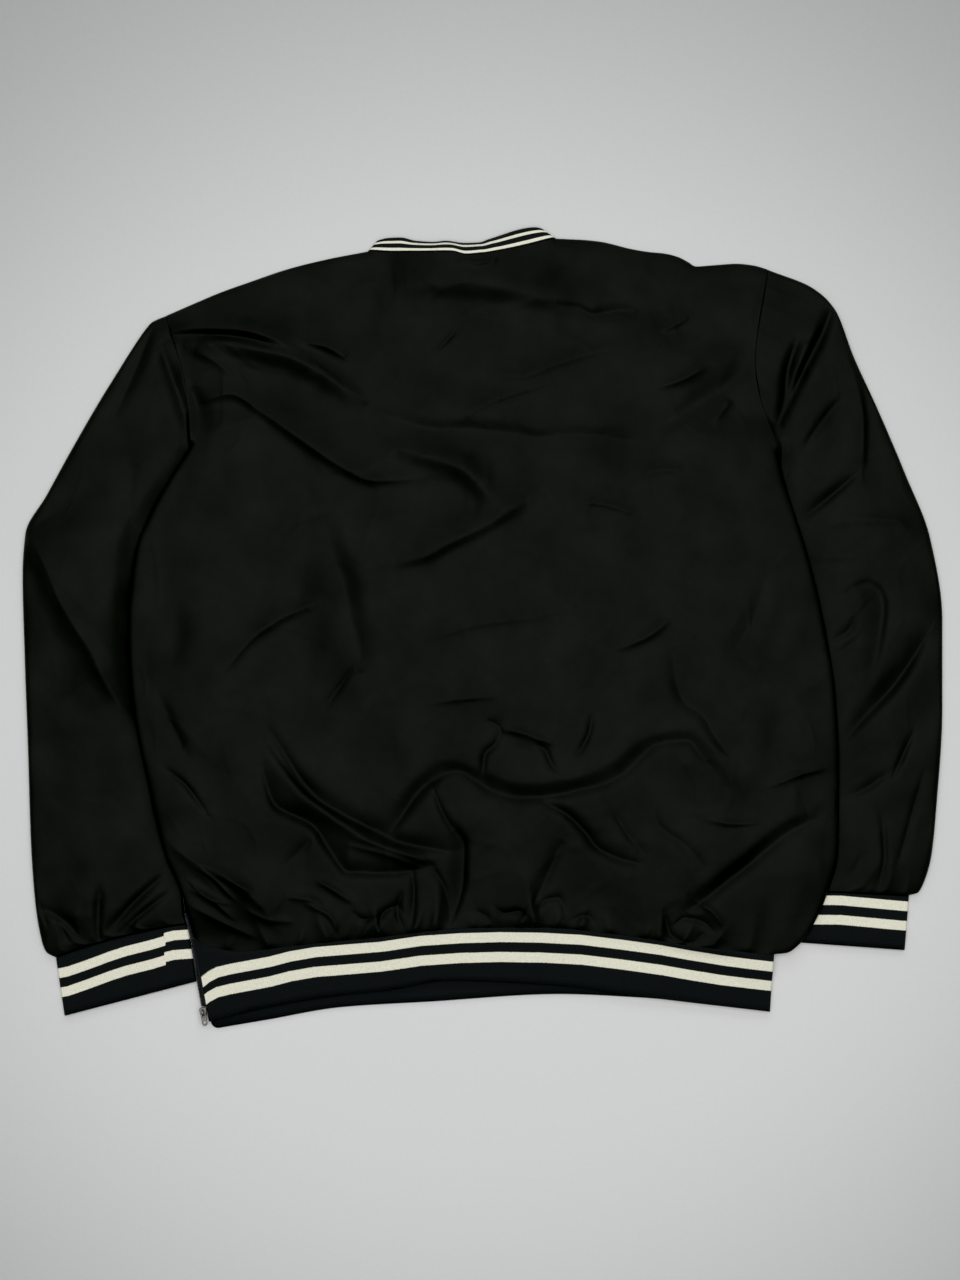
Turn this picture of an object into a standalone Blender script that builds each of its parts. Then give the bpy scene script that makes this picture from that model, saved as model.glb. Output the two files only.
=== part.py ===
"""Pullover windshirt laid out flat with its back upwards, modelled piece by piece as it is sewn.

The shirt lies on the plane z = 0. +X is to the right and +Y towards the collar, as it is seen from above.
Sizes and tables are in millimetres and the meshes are made in metres.
"""

import math
from typing import NamedTuple

import bmesh
import bpy
import numpy as np
from mathutils import Matrix

MM = 0.001

# Walls, in millimetres
SHELL_WALL = 1.2  # nylon shell, two plies
RIB_WALL = 2.0  # rib knit, doubled
TAPE_WALL = 1.0
SEAM_GAP = 0.3
ARMHOLE_GAP = 0.6  # measured along X
BAND_GAP = 0.55  # the gathered hem seam is curved as well
RIB_HOLLOW = 0.8  # between the two walls of a rib tube lying flat
BAND_HOLLOW = 1.2

# How the layers lie on each other
SLEEVE_PRESSED = 4.0  # a sleeve's height where the body lies on it
FRONT_LIFT = 5.6  # the front panel's underside over such a margin
LIFT_FLAT = 14.0  # how far the lift reaches past the sleeve's hidden edge
LIFT_RAMP = 46.0
LIFT_EASE = 0.7  # more room between front and back where the lift begins
PRESS_MARGIN = 8.0  # how far out of the body's edge a sleeve stays pressed
PRESS_ROLL = 13.0

# How the back swells
BACK_SWELL = 4.0
EDGE_ROLL = 9.0
HEM_SHARE = 0.6  # of the swell that is left at the hem seam
HEM_ROLL = 16.0
NECK_SWELL = 7.5
NECK_SPREAD = 70.0
SLEEVE_ROLL = 11.0
BAND_SWELL = 2.0
COLLAR_EDGE = 5.2  # height of the collar's free edge at the back
FOLD_WIDTH_LEAST = 14.0
FOLD_STEPS = 24

# Gathers where the shell is sewn to the ribs
HEM_GATHERS = 18
HEM_GATHER_RISE = 2.6
HEM_GATHER_REACH = 15.0
CUFF_GATHERS = 7
CUFF_GATHER_RISE = 1.8
GATHER_UNEVEN = 0.35

# Grid of each piece
BODY_COLUMNS = 48
SIDE_ROWS = 26
ARMHOLE_ROWS = 10
NECK_COLUMNS = (16, 32)  # the columns that meet the collar's two ends
COLLAR_COLUMNS = (16, 8)  # along its back and its front half
GATHERED_ROWS = 4
CUFF_ACROSS = 10
CUFF_ROWS = 3
BAND_BACK_COLUMNS = 32
BAND_FRONT_COLUMNS = 24
BAND_ROWS = 3
COLLAR_ROWS = 4

# Zip
ZIP_TOP_Y = -264.0
ZIP_END_Y = -351.0
ZIP_STATIONS = 9
ZIP_BULGE = 4.6  # how far the tape stands out of the hem band's end
ZIP_SPLIT = 0.22  # where along its section the tape's halves meet, under the chain
CHAIN_RADIUS = 1.1
SLIDER_LENGTH = 9.0
SLIDER_WIDTH = 6.4
SLIDER_HEIGHT = 4.0
SLIDER_BEVEL = 0.8
BRIDGE_LENGTH = 6.0
BRIDGE_RISE = 3.1
BRIDGE_WIDTH = 1.6
BRIDGE_OPENING = (3.6, 1.9)
PULL_LENGTH = 13.0
PULL_WIDTH = 5.0
PULL_THICKNESS = 1.2
PULL_BAR = 1.1  # the bar of the tab that turns under the bridge
PULL_SLOT = (3.7, 2.4)

# Outline of the back, as points in the plan
SIDE_LEFT = [
    (-267, -288), (-277.5, -248), (-295, -206), (-309, -146), (-325, -58),
    (-328, -2), (-321, 71), (-306, 108), (-269, 170),
]
ARMHOLE_LEFT = [(-269, 170), (-274, 221), (-292, 289)]
SIDE_RIGHT = [
    (270, -302), (281, -301), (292, -294), (306, -275), (319, -246), (329, -206),
    (330, -132), (327, -67), (314, 15), (298, 77), (279, 137), (273, 162),
]
ARMHOLE_RIGHT = [(273, 162), (252, 245), (264, 333)]
SHOULDER_LEFT = [(-292, 289), (-242, 309), (-170, 334), (-105, 352)]
NECK_BACK = [(-105, 352), (-49, 350), (-15, 346), (16, 352), (69, 361)]
NECK_FRONT = [(-105, 352), (-88, 300), (-18, 278), (50, 306), (69, 361)]
SHOULDER_RIGHT = [(69, 361), (119, 359), (151, 350), (199, 337), (235, 339), (264, 333)]
HEM_BACK = [
    (-267, -288), (-226, -295), (-170, -291), (-95, -282), (-12, -273),
    (53, -272), (128, -282), (202, -293), (270, -302),
]
HEM_FRONT = [
    (-267, -288), (-201, -306), (-130, -298), (-49, -292),
    (72, -286), (143, -289), (202, -294), (270, -302),
]

# Free edges of the ribs
BAND_EDGE_BACK = [
    (-253, -365), (-201, -352), (-139, -341), (-86, -335),
    (-31, -326), (72, -331), (143, -341), (267, -356),
]
BAND_EDGE_FRONT = [
    (-251, -372.5), (-201, -364), (-130, -352), (-49, -347),
    (72, -340), (143, -343), (267, -356),
]
COLLAR_EDGE_BACK = [(-102, 360), (-66, 361), (-15, 359), (16, 365), (51, 372.7), (67, 366)]
COLLAR_EDGE_FRONT = [(-102, 360), (-70, 314), (-18, 298), (34, 318), (67, 366)]


class Section(NamedTuple):
    """A cut across a sleeve lying flat, from its outer edge to its inner edge."""

    outer_x: float
    outer_y: float
    inner_x: float
    inner_y: float
    crown: float


class Fold(NamedTuple):
    """A fold whose crest passes through three points; a negative rise is a trough."""

    start_x: float
    start_y: float
    bend_x: float
    bend_y: float
    end_x: float
    end_y: float
    width: float
    rise: float


class Lift(NamedTuple):
    """The stretch along a side, from the armpit down, in which the body lies on a sleeve."""

    top_none: float
    top_full: float
    low_full: float
    low_none: float


class Side(NamedTuple):
    """One sleeve with the stretch of the body that lies on it; out is the direction away from the body."""

    name: str
    out: int
    sections: list
    cuff_outer: tuple
    cuff_inner: tuple
    armhole: list
    body_side: list
    lift: Lift
    folds: list


SECTIONS_LEFT = [
    Section(-292, 289, -269, 170, 5.0),
    Section(-319, 262, -274, 163, 5.0),
    Section(-346, 226, -281, 147, 5.0),
    Section(-379, 173, -298, 117, 5.0),
    Section(-407, 124, -299, 77, 5.0),
    Section(-425, 88, -297, 35, 5.0),
    Section(-427, 46, -294, -11, 5.0),
    Section(-425, -30, -290, -76, 5.0),
    Section(-422, -113, -287, -146, 5.0),
    Section(-419, -206, -283, -211, 5.0),
    Section(-413, -272, -278, -250, 5.0),
    Section(-405, -301, -278.9, -266.5, 3.0),
    Section(-396, -306, -276.6, -275, 1.2),
]
SECTIONS_RIGHT = [
    Section(264, 333, 273, 162, 5.0),
    Section(306, 316, 276, 153, 5.0),
    Section(327, 296, 277, 138, 5.0),
    Section(345, 251, 281, 120, 5.0),
    Section(367, 203, 287, 93, 5.0),
    Section(393, 142, 292, 54, 5.0),
    Section(416, 82, 292, 7, 5.0),
    Section(427, 7, 293, -58, 5.0),
    Section(427, -76, 295, -123, 5.0),
    Section(423, -160, 295, -179, 5.0),
    Section(416, -216, 288, -220, 5.0),
    Section(404, -246, 274, -235, 3.0),
    Section(396, -248, 273, -243, 1.2),
]

BACK_FOLDS = [
    Fold(-291, 282, -160, 262, -49, 189, 16, 5.5),
    Fold(-49, 189, 53, 183, 166, 176, 15, 3.5),
    Fold(-266, 214, -182, 190, -77, 140, 15, 5.5),
    Fold(-84, 154, -34, 160, 7, 122, 13, 4.5),
    Fold(-81, 61, -21, 84, 37, 114, 12, 3.5),
    Fold(-238, -37, -205, 2, -151, 24, 12, 3.0),
    Fold(-199, -100, -145, -166, -49, -200, 15, 5.5),
    Fold(-196, -146, -156, -189, -105, -206, 12, 3.5),
    Fold(-79, -171, -50, -132, -12, -120, 13, 4.5),
    Fold(-4, -138, 95, -138, 184, -93, 15, 5.5),
    Fold(184, -93, 206, -108, 223, -140, 12, 3.5),
    Fold(64, -160, 91, -184, 120, -206, 12, 3.5),
    Fold(166, -253, 230, -210, 297, -179, 15, 5.5),
    Fold(-25, -200, -26, -234, -24, -264, 12, 4.0),
    Fold(-292, -202, -238, -236, -181, -281, 13, 4.5),
    Fold(146, 189, 194, 217, 244, 259, 13, 3.0),
    Fold(-16, 314, 55, 304, 132, 286, 18, -3.5),
    Fold(177, 6, 168, -44, 195, -87, 13, 3.0),
    Fold(-141, 105, -122, 54, -93, -11, 18, -3.0),
]
LEFT_FOLDS = [
    Fold(-418, 78, -378, 4, -326, -82, 14, 5.0),
    Fold(-346, -230, -352, -262, -356, -292, 12, 2.5),
]
RIGHT_FOLDS = [
    Fold(336, 282, 312, 228, 278, 176, 14, 4.5),
    Fold(345, 239, 352, 196, 352, 142, 14, 3.5),
    Fold(408, -12, 372, -62, 338, -106, 14, 4.0),
]

SIDES = [
    Side("left", -1, SECTIONS_LEFT, (-388, -360), (-267.5, -330), ARMHOLE_LEFT, SIDE_LEFT,
         Lift(208, 174, -242, -290), LEFT_FOLDS),
    Side("right", 1, SECTIONS_RIGHT, (392, -299), (268, -290), ARMHOLE_RIGHT, SIDE_RIGHT,
         Lift(200, 166, -300, -345), RIGHT_FOLDS),
]


def steady_slopes(points, knots):
    """Slopes at the points of a curve that never overshoots them."""
    step = np.diff(knots)[:, None]
    rise = np.diff(points, axis=0) / step
    before, after = rise[:-1], rise[1:]
    weigh_before = 2 * step[1:] + step[:-1]
    weigh_after = step[1:] + 2 * step[:-1]
    same = before * after > 0
    safe_before = np.where(same, before, 1.0)
    safe_after = np.where(same, after, 1.0)
    mean = (weigh_before + weigh_after) / (weigh_before / safe_before + weigh_after / safe_after)
    return np.concatenate([rise[:1], np.where(same, mean, 0.0), rise[-1:]])


def through(points, t, knots=None):
    """Points of a smooth curve through the given ones; t runs from 0 to 1 along its chords, or by the knots."""
    points = np.asarray(points, float)
    if knots is None:
        steps = np.linalg.norm(np.diff(points, axis=0), axis=1)
        knots = np.concatenate([[0.0], np.cumsum(steps)]) / steps.sum()
    slopes = steady_slopes(points, knots)
    t = np.asarray(t, float)
    i = np.clip(np.searchsorted(knots, t, side="right") - 1, 0, len(points) - 2)
    span = (knots[i + 1] - knots[i])[:, None]
    f = (t - knots[i])[:, None] / span
    return (
        (1 + 2 * f) * (1 - f) ** 2 * points[i]
        + f * (1 - f) ** 2 * span * slopes[i]
        + f**2 * (3 - 2 * f) * points[i + 1]
        - f**2 * (1 - f) * span * slopes[i + 1]
    )


def joined(stretches, breaks, t):
    """Points of a boundary made of several curves, each between two breaks of t."""
    t = np.asarray(t, float)
    result = np.zeros((len(t), 2))
    for curve, low, high in zip(stretches, breaks[:-1], breaks[1:]):
        inside = (t >= low - 1e-9) & (t <= high + 1e-9)
        result[inside] = through(curve, np.clip((t[inside] - low) / (high - low), 0, 1))
    return result


def smooth(t):
    t = np.clip(t, 0.0, 1.0)
    return t * t * (3 - 2 * t)


def distance_to(path, x, y):
    """Distance in the plan to a dense path, with the index of its nearest point."""
    gap = (x[:, None] - path[None, :, 0]) ** 2 + (y[:, None] - path[None, :, 1]) ** 2
    nearest = np.argmin(gap, axis=1)
    return np.sqrt(gap[np.arange(len(x)), nearest]), nearest


def dense(curve, steps=80):
    return through(curve, np.linspace(0, 1, steps))


def at_height(curve, y):
    """The x at which a side's curve, which rises steadily, has the height y."""
    path = dense(curve, 200)
    order = np.argsort(path[:, 1])
    return np.interp(y, path[order, 1], path[order, 0])


def hidden_edge(side, y):
    """The x of the sleeve's inner edge, which lies under the body."""
    points = [(s.inner_x, s.inner_y) for s in side.sections] + [side.cuff_inner]
    points.sort(key=lambda p: p[1])
    return np.interp(y, [p[1] for p in points], [p[0] for p in points])


def lift(x, y):
    """Height of the body's underside: the floor, or the sleeve margins that it lies on."""
    total = np.zeros_like(x)
    for side in SIDES:
        inward = -side.out * (x - hidden_edge(side, y))
        ramp = 1 - smooth((inward - LIFT_FLAT) / LIFT_RAMP)
        span = side.lift
        fade = smooth((span.top_none - y) / (span.top_none - span.top_full))
        fade *= smooth((y - span.low_none) / (span.low_full - span.low_none))
        total += FRONT_LIFT * ramp * fade
    return total


def fold_relief(folds, x, y):
    total = np.zeros_like(x)
    t = np.linspace(0, 1, FOLD_STEPS)
    taper = np.sin(np.pi * np.clip(t, 0.02, 0.98)) ** 0.5
    for fold in folds:
        path = through(np.reshape(fold[:6], (3, 2)), t)
        away, nearest = distance_to(path, x, y)
        width = max(fold.width, FOLD_WIDTH_LEAST)
        total += fold.rise * taper[nearest] * np.exp(-((away / width) ** 2))
    return total


def gather_wave(t, count):
    """Uneven waves along a gathered seam, in -1 to 1, for t from 0 to 1 along it."""
    phase = count * t + GATHER_UNEVEN * np.sin(6.0 * np.pi * t + 0.7)
    return np.sin(2 * np.pi * phase)


def back_height(x, y):
    """Height of the back's outer face over the floor."""
    edges = [dense(c) for c in (SIDE_LEFT, SIDE_RIGHT, SHOULDER_LEFT, SHOULDER_RIGHT)]
    from_edge = distance_to(np.concatenate(edges), x, y)[0]
    from_hem = distance_to(dense(HEM_BACK), x, y)[0]
    swell = BACK_SWELL * (1 - np.exp(-from_edge / EDGE_ROLL))
    swell *= 1 - (1 - HEM_SHARE) * np.exp(-from_hem / HEM_ROLL)
    neck = through(NECK_BACK, np.array([0.5]))[0]
    swell += NECK_SWELL * np.exp(-((x - neck[0]) ** 2 + (y - neck[1]) ** 2) / NECK_SPREAD**2)
    inner = 1 - np.exp(-from_edge / SLEEVE_ROLL)
    along = (x - HEM_BACK[0][0]) / (HEM_BACK[-1][0] - HEM_BACK[0][0])
    reach = from_hem / HEM_GATHER_REACH
    gathers = HEM_GATHER_RISE * gather_wave(along, HEM_GATHERS) * reach * np.exp(1 - reach)
    hem_hold = 1 - np.exp(-from_hem / HEM_ROLL)
    swell += inner * (fold_relief(BACK_FOLDS, x, y) * hem_hold + gathers)
    raised = lift(x, y) / FRONT_LIFT
    ease = 4 * LIFT_EASE * raised * (1 - raised)
    return raised * FRONT_LIFT + 2 * SHELL_WALL + SEAM_GAP + ease + np.maximum(swell, 0.0)


def column_place(column):
    """Share across the body of a column; they stand closer towards both sides."""
    t = column / BODY_COLUMNS
    return t - 0.45 * np.sin(2 * np.pi * t) / (2 * np.pi)


def body_plan(column, row, hem, neck):
    """Plan of a body panel, spanned between its hem, sides, shoulders and neck."""
    u = column_place(column)
    v = row / (SIDE_ROWS + ARMHOLE_ROWS)
    armpit = SIDE_ROWS / (SIDE_ROWS + ARMHOLE_ROWS)
    ends = column_place(np.array(NECK_COLUMNS, float))
    left = joined([SIDE_LEFT, ARMHOLE_LEFT], [0, armpit, 1], v)
    right = joined([SIDE_RIGHT, ARMHOLE_RIGHT], [0, armpit, 1], v)
    top = joined([SHOULDER_LEFT, neck, SHOULDER_RIGHT], [0, ends[0], ends[1], 1], u)
    bottom = through(hem, u)
    u = u[:, None]
    v = v[:, None]
    corners = np.array([hem[0], hem[-1], SHOULDER_LEFT[0], SHOULDER_RIGHT[-1]], float)
    flat = (1 - u) * (1 - v) * corners[0] + u * (1 - v) * corners[1]
    flat += (1 - u) * v * corners[2] + u * v * corners[3]
    return (1 - v) * bottom + v * top + (1 - u) * left + u * right - flat


def back_place(column, row):
    plan = body_plan(column, row, HEM_BACK, NECK_BACK)
    return np.column_stack([plan, back_height(plan[:, 0], plan[:, 1])])


def front_place(column, row):
    plan = body_plan(column, row, HEM_FRONT, NECK_FRONT)
    return np.column_stack([plan, lift(plan[:, 0], plan[:, 1])])


def ring(place, upper, lower):
    """Turns a place round a strip folded flat into the share across it and 1 or 0 for its upper or lower wall.

    The upper wall has the first columns, then come one column down the fold, the lower wall, and one up.
    """
    back = np.clip(1 - (place - upper - 1) / lower, 0, 1)
    share = np.where(place <= upper + 0.5, np.clip(place / upper, 0, 1), back)
    high = 1 - np.clip(place - upper, 0, 1) + np.clip(place - upper - lower - 1, 0, 1)
    return share, high


def sleeve_place(side, place, row):
    share, high = ring(place, ARMHOLE_ROWS, ARMHOLE_ROWS // 2)
    knots = np.arange(len(side.sections), dtype=float)
    table = np.array(side.sections, float)
    outer = through(table[:, 0:2], row, knots)
    inner = through(table[:, 2:4], row, knots)
    crown = np.interp(row, knots, table[:, 4])
    s = share[:, None]
    armhole = through(side.armhole[::-1], share)
    chord = (1 - s) * np.array(side.armhole[-1], float) + s * np.array(side.armhole[0], float)
    bow = (1 - smooth(row / 3))[:, None] * (armhole - chord)
    plan = (1 - s) * outer + s * inner + bow
    plan[:, 0] += side.out * ARMHOLE_GAP * np.clip(1 - row, 0, 1)
    x, y = plan[:, 0], plan[:, 1]
    width = np.linalg.norm(inner - outer, axis=1)
    swell = crown * (1 - np.exp(-share * width / SLEEVE_ROLL))
    swell *= 1 - np.exp(-(1 - share) * width / SLEEVE_ROLL)
    outside = side.out * (x - at_height(side.body_side, y))
    freed = 1 - np.exp(-np.maximum(outside - PRESS_MARGIN, 0) / PRESS_ROLL)
    armpit_y = side.armhole[0][1]
    pressed = smooth((armpit_y + 15 - y) / 30) * (1 - freed)
    last = len(side.sections) - 1
    from_cuff = np.abs(last - row)
    gathers = CUFF_GATHER_RISE * gather_wave(share, CUFF_GATHERS) * from_cuff * np.exp(1 - from_cuff)
    held = np.clip(from_cuff, 0, 1) * (1 - np.exp(-share * width / SLEEVE_ROLL))
    swell += held * (fold_relief(side.folds, x, y) + np.where(from_cuff < 3, gathers, 0))
    free_top = SLEEVE_PRESSED + np.maximum(swell, 0) * (1 - pressed)
    sewn_top = back_height(armhole[:, 0], armhole[:, 1])
    join = smooth(row / 1.6)
    top = (1 - join) * sewn_top + join * free_top
    return np.column_stack([plan, high * top])


def cuff_place(side, place, row):
    share, high = ring(place, CUFF_ACROSS, CUFF_ACROSS)
    seam = side.sections[-1]
    s = share[:, None]
    top = (1 - s) * np.array([seam.outer_x, seam.outer_y]) + s * np.array([seam.inner_x, seam.inner_y])
    edge = (1 - s) * np.array(side.cuff_outer, float) + s * np.array(side.cuff_inner, float)
    down = (edge - top) / np.linalg.norm(edge - top, axis=1)[:, None]
    top = top + SEAM_GAP * down
    v = (row / CUFF_ROWS)[:, None]
    plan = (1 - v) * top + v * edge
    return np.column_stack([plan, high * (2 * RIB_WALL + RIB_HOLLOW)])


def band_place(place, row):
    """The hem strip: along the back from the zip, round the fold at the right, and along the front."""
    share, high = ring(place, BAND_BACK_COLUMNS, BAND_FRONT_COLUMNS)
    t = column_place(share * BODY_COLUMNS)
    v = (row / BAND_ROWS)[:, None]
    pick = (high > 0.5)[:, None]
    seam = np.where(pick, through(HEM_BACK, t), through(HEM_FRONT, t))
    edge = np.where(pick, through(BAND_EDGE_BACK, t), through(BAND_EDGE_FRONT, t))
    down = (edge - seam) / np.linalg.norm(edge - seam, axis=1)[:, None]
    plan = (1 - v) * (seam + BAND_GAP * down) + v * edge
    x, y = plan[:, 0], plan[:, 1]
    top = 2 * RIB_WALL + BAND_HOLLOW + BAND_SWELL * np.sin(np.pi * t)
    return np.column_stack([plan, lift(x, y) + high * top])


def collar_place(place, row):
    """The collar ring: its back half hangs from the neck seam to the floor and its front half lies flat."""
    t, high = ring(place, *COLLAR_COLUMNS)
    pick = (high > 0.5)[:, None]
    seam = np.where(pick, through(NECK_BACK, t), through(NECK_FRONT, t))
    edge = np.where(pick, through(COLLAR_EDGE_BACK, t), through(COLLAR_EDGE_FRONT, t))
    up = (edge - seam) / np.linalg.norm(edge - seam, axis=1)[:, None]
    v = row / COLLAR_ROWS
    gap = SEAM_GAP * (1.4 + 2.6 * np.abs(2 * t - 1) ** 8 + 1.5 * (1 - high))
    plan = (1 - v)[:, None] * (seam + gap[:, None] * up) + v[:, None] * edge
    sewn = np.maximum(back_height(seam[:, 0], seam[:, 1]), COLLAR_EDGE)
    top = sewn + (COLLAR_EDGE - sewn) * v**2.5
    return np.column_stack([plan, high * top])


def band_end(y):
    """The x of the body's or hem band's left end at a height."""
    end = [BAND_EDGE_BACK[0], HEM_BACK[0]]
    low = np.interp(y, [p[1] for p in end], [p[0] for p in end])
    return np.where(y > HEM_BACK[0][1], at_height(SIDE_LEFT, y), low)


def tape_place(share_low, share_high, columns, place, row):
    """The zip tape's section, half an ellipse that stands out of the hem's left end."""
    q = share_low + (share_high - share_low) * place / columns
    v = row / ZIP_STATIONS
    y = ZIP_TOP_Y + (ZIP_END_Y - ZIP_TOP_Y) * v
    low = lift(band_end(y), y) + 0.2
    high = low + 4.6
    x = band_end(y) - 2 * SEAM_GAP - ZIP_BULGE * np.sin(np.pi * q) ** 0.8
    return np.column_stack([x, y, low + (high - low) * (1 + np.cos(np.pi * q)) / 2])


def sheet_mesh(name, columns, rows, place, fine_rows=(), closed=False, flipped=False):
    """A mesh laid out as a grid, placed by a function; fine rows get twice the columns."""
    bm = bmesh.new()
    bmesh.ops.create_grid(bm, x_segments=columns, y_segments=rows, size=0.5)
    for vert in bm.verts:
        vert.co.x = (vert.co.x + 0.5) * columns
        vert.co.y = (vert.co.y + 0.5) * rows
    fine = [
        e for e in bm.edges
        if abs(e.verts[0].co.y - e.verts[1].co.y) < 1e-4 and round(e.verts[0].co.y) in fine_rows
    ]
    if fine:
        bmesh.ops.subdivide_edges(bm, edges=fine, cuts=1, use_grid_fill=True)
    flat = np.array([v.co[:2] for v in bm.verts])
    placed = place(flat[:, 0], flat[:, 1]) * MM
    for vert, co in zip(bm.verts, placed):
        vert.co = co
    if closed:
        bmesh.ops.remove_doubles(bm, verts=bm.verts, dist=0.01 * MM)
    if flipped:
        bmesh.ops.reverse_faces(bm, faces=bm.faces)
    mesh = bpy.data.meshes.new(name)
    bm.to_mesh(mesh)
    bm.free()
    return mesh


def material(name, colour, roughness, metallic=0.0):
    result = bpy.data.materials.new(name)
    result.use_nodes = True
    shader = result.node_tree.nodes["Principled BSDF"]
    shader.inputs["Base Color"].default_value = (*colour, 1.0)
    shader.inputs["Roughness"].default_value = roughness
    shader.inputs["Metallic"].default_value = metallic
    return result


def add_part(group, name, mesh, finish, parent):
    obj = bpy.data.objects.new(name, mesh)
    mesh.materials.append(finish)
    group.objects.link(obj)
    obj.parent = parent
    return obj


def add_sheet(group, name, mesh, finish, parent, wall):
    """A part of cloth: the mesh is its outer face and the wall grows inwards from it."""
    obj = add_part(group, name, mesh, finish, parent)
    solidify = obj.modifiers.new("Wall", "SOLIDIFY")
    solidify.thickness = wall * MM
    solidify.offset = -1.0
    solidify.use_even_offset = True
    solidify.use_quality_normals = True
    return obj


def block(name, size, centre, bevel=0.0):
    """A box with its long edges rounded off."""
    mesh = bpy.data.meshes.new(name)
    bm = bmesh.new()
    bmesh.ops.create_cube(bm, size=1.0)
    bmesh.ops.scale(bm, vec=[s * MM for s in size], verts=bm.verts)
    bmesh.ops.translate(bm, vec=[c * MM for c in centre], verts=bm.verts)
    if bevel:
        bmesh.ops.bevel(bm, geom=bm.edges[:], offset=bevel * MM, segments=2, profile=0.5, affect="EDGES")
    bm.to_mesh(mesh)
    bm.free()
    return mesh


def boolean(obj, tool, operation, group):
    tool.hide_render = True
    tool.display_type = "WIRE"
    modifier = obj.modifiers.new(operation.title(), "BOOLEAN")
    modifier.operation = operation
    modifier.solver = "EXACT"
    modifier.object = tool
    group.objects.link(tool)


def add_zip(group, cutters, cloth, coil, metal, root):
    """Tapes, closed chain, slider and pull tab of the side zip."""
    tapes = [("zip_tape_back", 0.0, ZIP_SPLIT - 0.04, 2), ("zip_tape_front", ZIP_SPLIT + 0.04, 1.0, 7)]
    for name, low, high, columns in tapes:
        mesh = sheet_mesh(name, columns, ZIP_STATIONS, lambda c, r: tape_place(low, high, columns, c, r))
        add_sheet(group, name, mesh, cloth, root, TAPE_WALL)

    stations = np.arange(ZIP_STATIONS + 1.0)
    line = tape_place(ZIP_SPLIT, ZIP_SPLIT, 1, np.zeros_like(stations), stations)
    line[:, 2] += CHAIN_RADIUS + SEAM_GAP
    line[:, 0] -= SEAM_GAP
    chain = sheet_mesh("zip_chain", 8, ZIP_STATIONS, lambda c, r: chain_place(line, c, r), closed=True)
    cap_ends(chain)
    add_part(group, "zip_chain", chain, coil, root)

    last, before = line[-1], line[-2]
    heading = math.atan2(last[1] - before[1], last[0] - before[0])
    along = np.array([math.cos(heading), math.sin(heading)])
    centre = last[:2] + along * (SLIDER_LENGTH / 2 + 3 * SEAM_GAP)
    top = last[2] + 1.6
    turn = Matrix.Rotation(heading, 4, "Z")

    slider_size = (SLIDER_LENGTH, SLIDER_WIDTH, SLIDER_HEIGHT)
    mesh = block("zip_slider", slider_size, (0, 0, -SLIDER_HEIGHT / 2), SLIDER_BEVEL)
    slider = add_part(group, "zip_slider", mesh, metal, root)
    slider.matrix_basis = Matrix.Translation((centre[0] * MM, centre[1] * MM, top * MM)) @ turn
    bridge_size = (BRIDGE_LENGTH, BRIDGE_WIDTH, BRIDGE_RISE + 1)
    mesh = block("bridge_tool", bridge_size, (0, 0, (BRIDGE_RISE - 1) / 2), 0.35)
    bridge = bpy.data.objects.new("bridge_tool", mesh)
    boolean(slider, bridge, "UNION", cutters)
    hole = (BRIDGE_OPENING[0], BRIDGE_WIDTH + 2, BRIDGE_OPENING[1])
    mesh = block("bridge_hole_tool", hole, (0, 0, BRIDGE_OPENING[1] / 2))
    opening = bpy.data.objects.new("bridge_hole_tool", mesh)
    boolean(slider, opening, "DIFFERENCE", cutters)
    for tool in (bridge, opening):
        tool.matrix_basis = slider.matrix_basis

    pivot = top + BRIDGE_OPENING[1] / 2
    pull_size = (PULL_LENGTH, PULL_WIDTH, PULL_THICKNESS)
    mesh = block("zip_pull", pull_size, ((PULL_LENGTH - PULL_BAR) / 2, 0, 0), 0.3)
    pull = add_part(group, "zip_pull", mesh, metal, root)
    pull.matrix_basis = Matrix.Translation((centre[0] * MM, centre[1] * MM, pivot * MM)) @ turn
    slot_size = (PULL_SLOT[0], PULL_SLOT[1], PULL_THICKNESS * 3)
    mesh = block("pull_slot_tool", slot_size, ((PULL_SLOT[0] + PULL_BAR) / 2, 0, 0))
    slot = bpy.data.objects.new("pull_slot_tool", mesh)
    slot.matrix_basis = pull.matrix_basis
    boolean(pull, slot, "DIFFERENCE", cutters)


def chain_place(line, place, row):
    """A round bead along the chain's line, eight sided."""
    centre = through(line, row / ZIP_STATIONS, np.linspace(0, 1, len(line)))
    turn = 2 * np.pi * place / 8
    offset = np.column_stack([np.cos(turn), np.zeros_like(turn), np.sin(turn)])
    return centre + CHAIN_RADIUS * offset


def cap_ends(mesh):
    bm = bmesh.new()
    bm.from_mesh(mesh)
    bmesh.ops.holes_fill(bm, edges=bm.edges, sides=0)
    bmesh.ops.recalc_face_normals(bm, faces=bm.faces)
    bm.to_mesh(mesh)
    bm.free()


def clear_scene():
    for obj in list(bpy.data.objects):
        bpy.data.objects.remove(obj, do_unlink=True)


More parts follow.
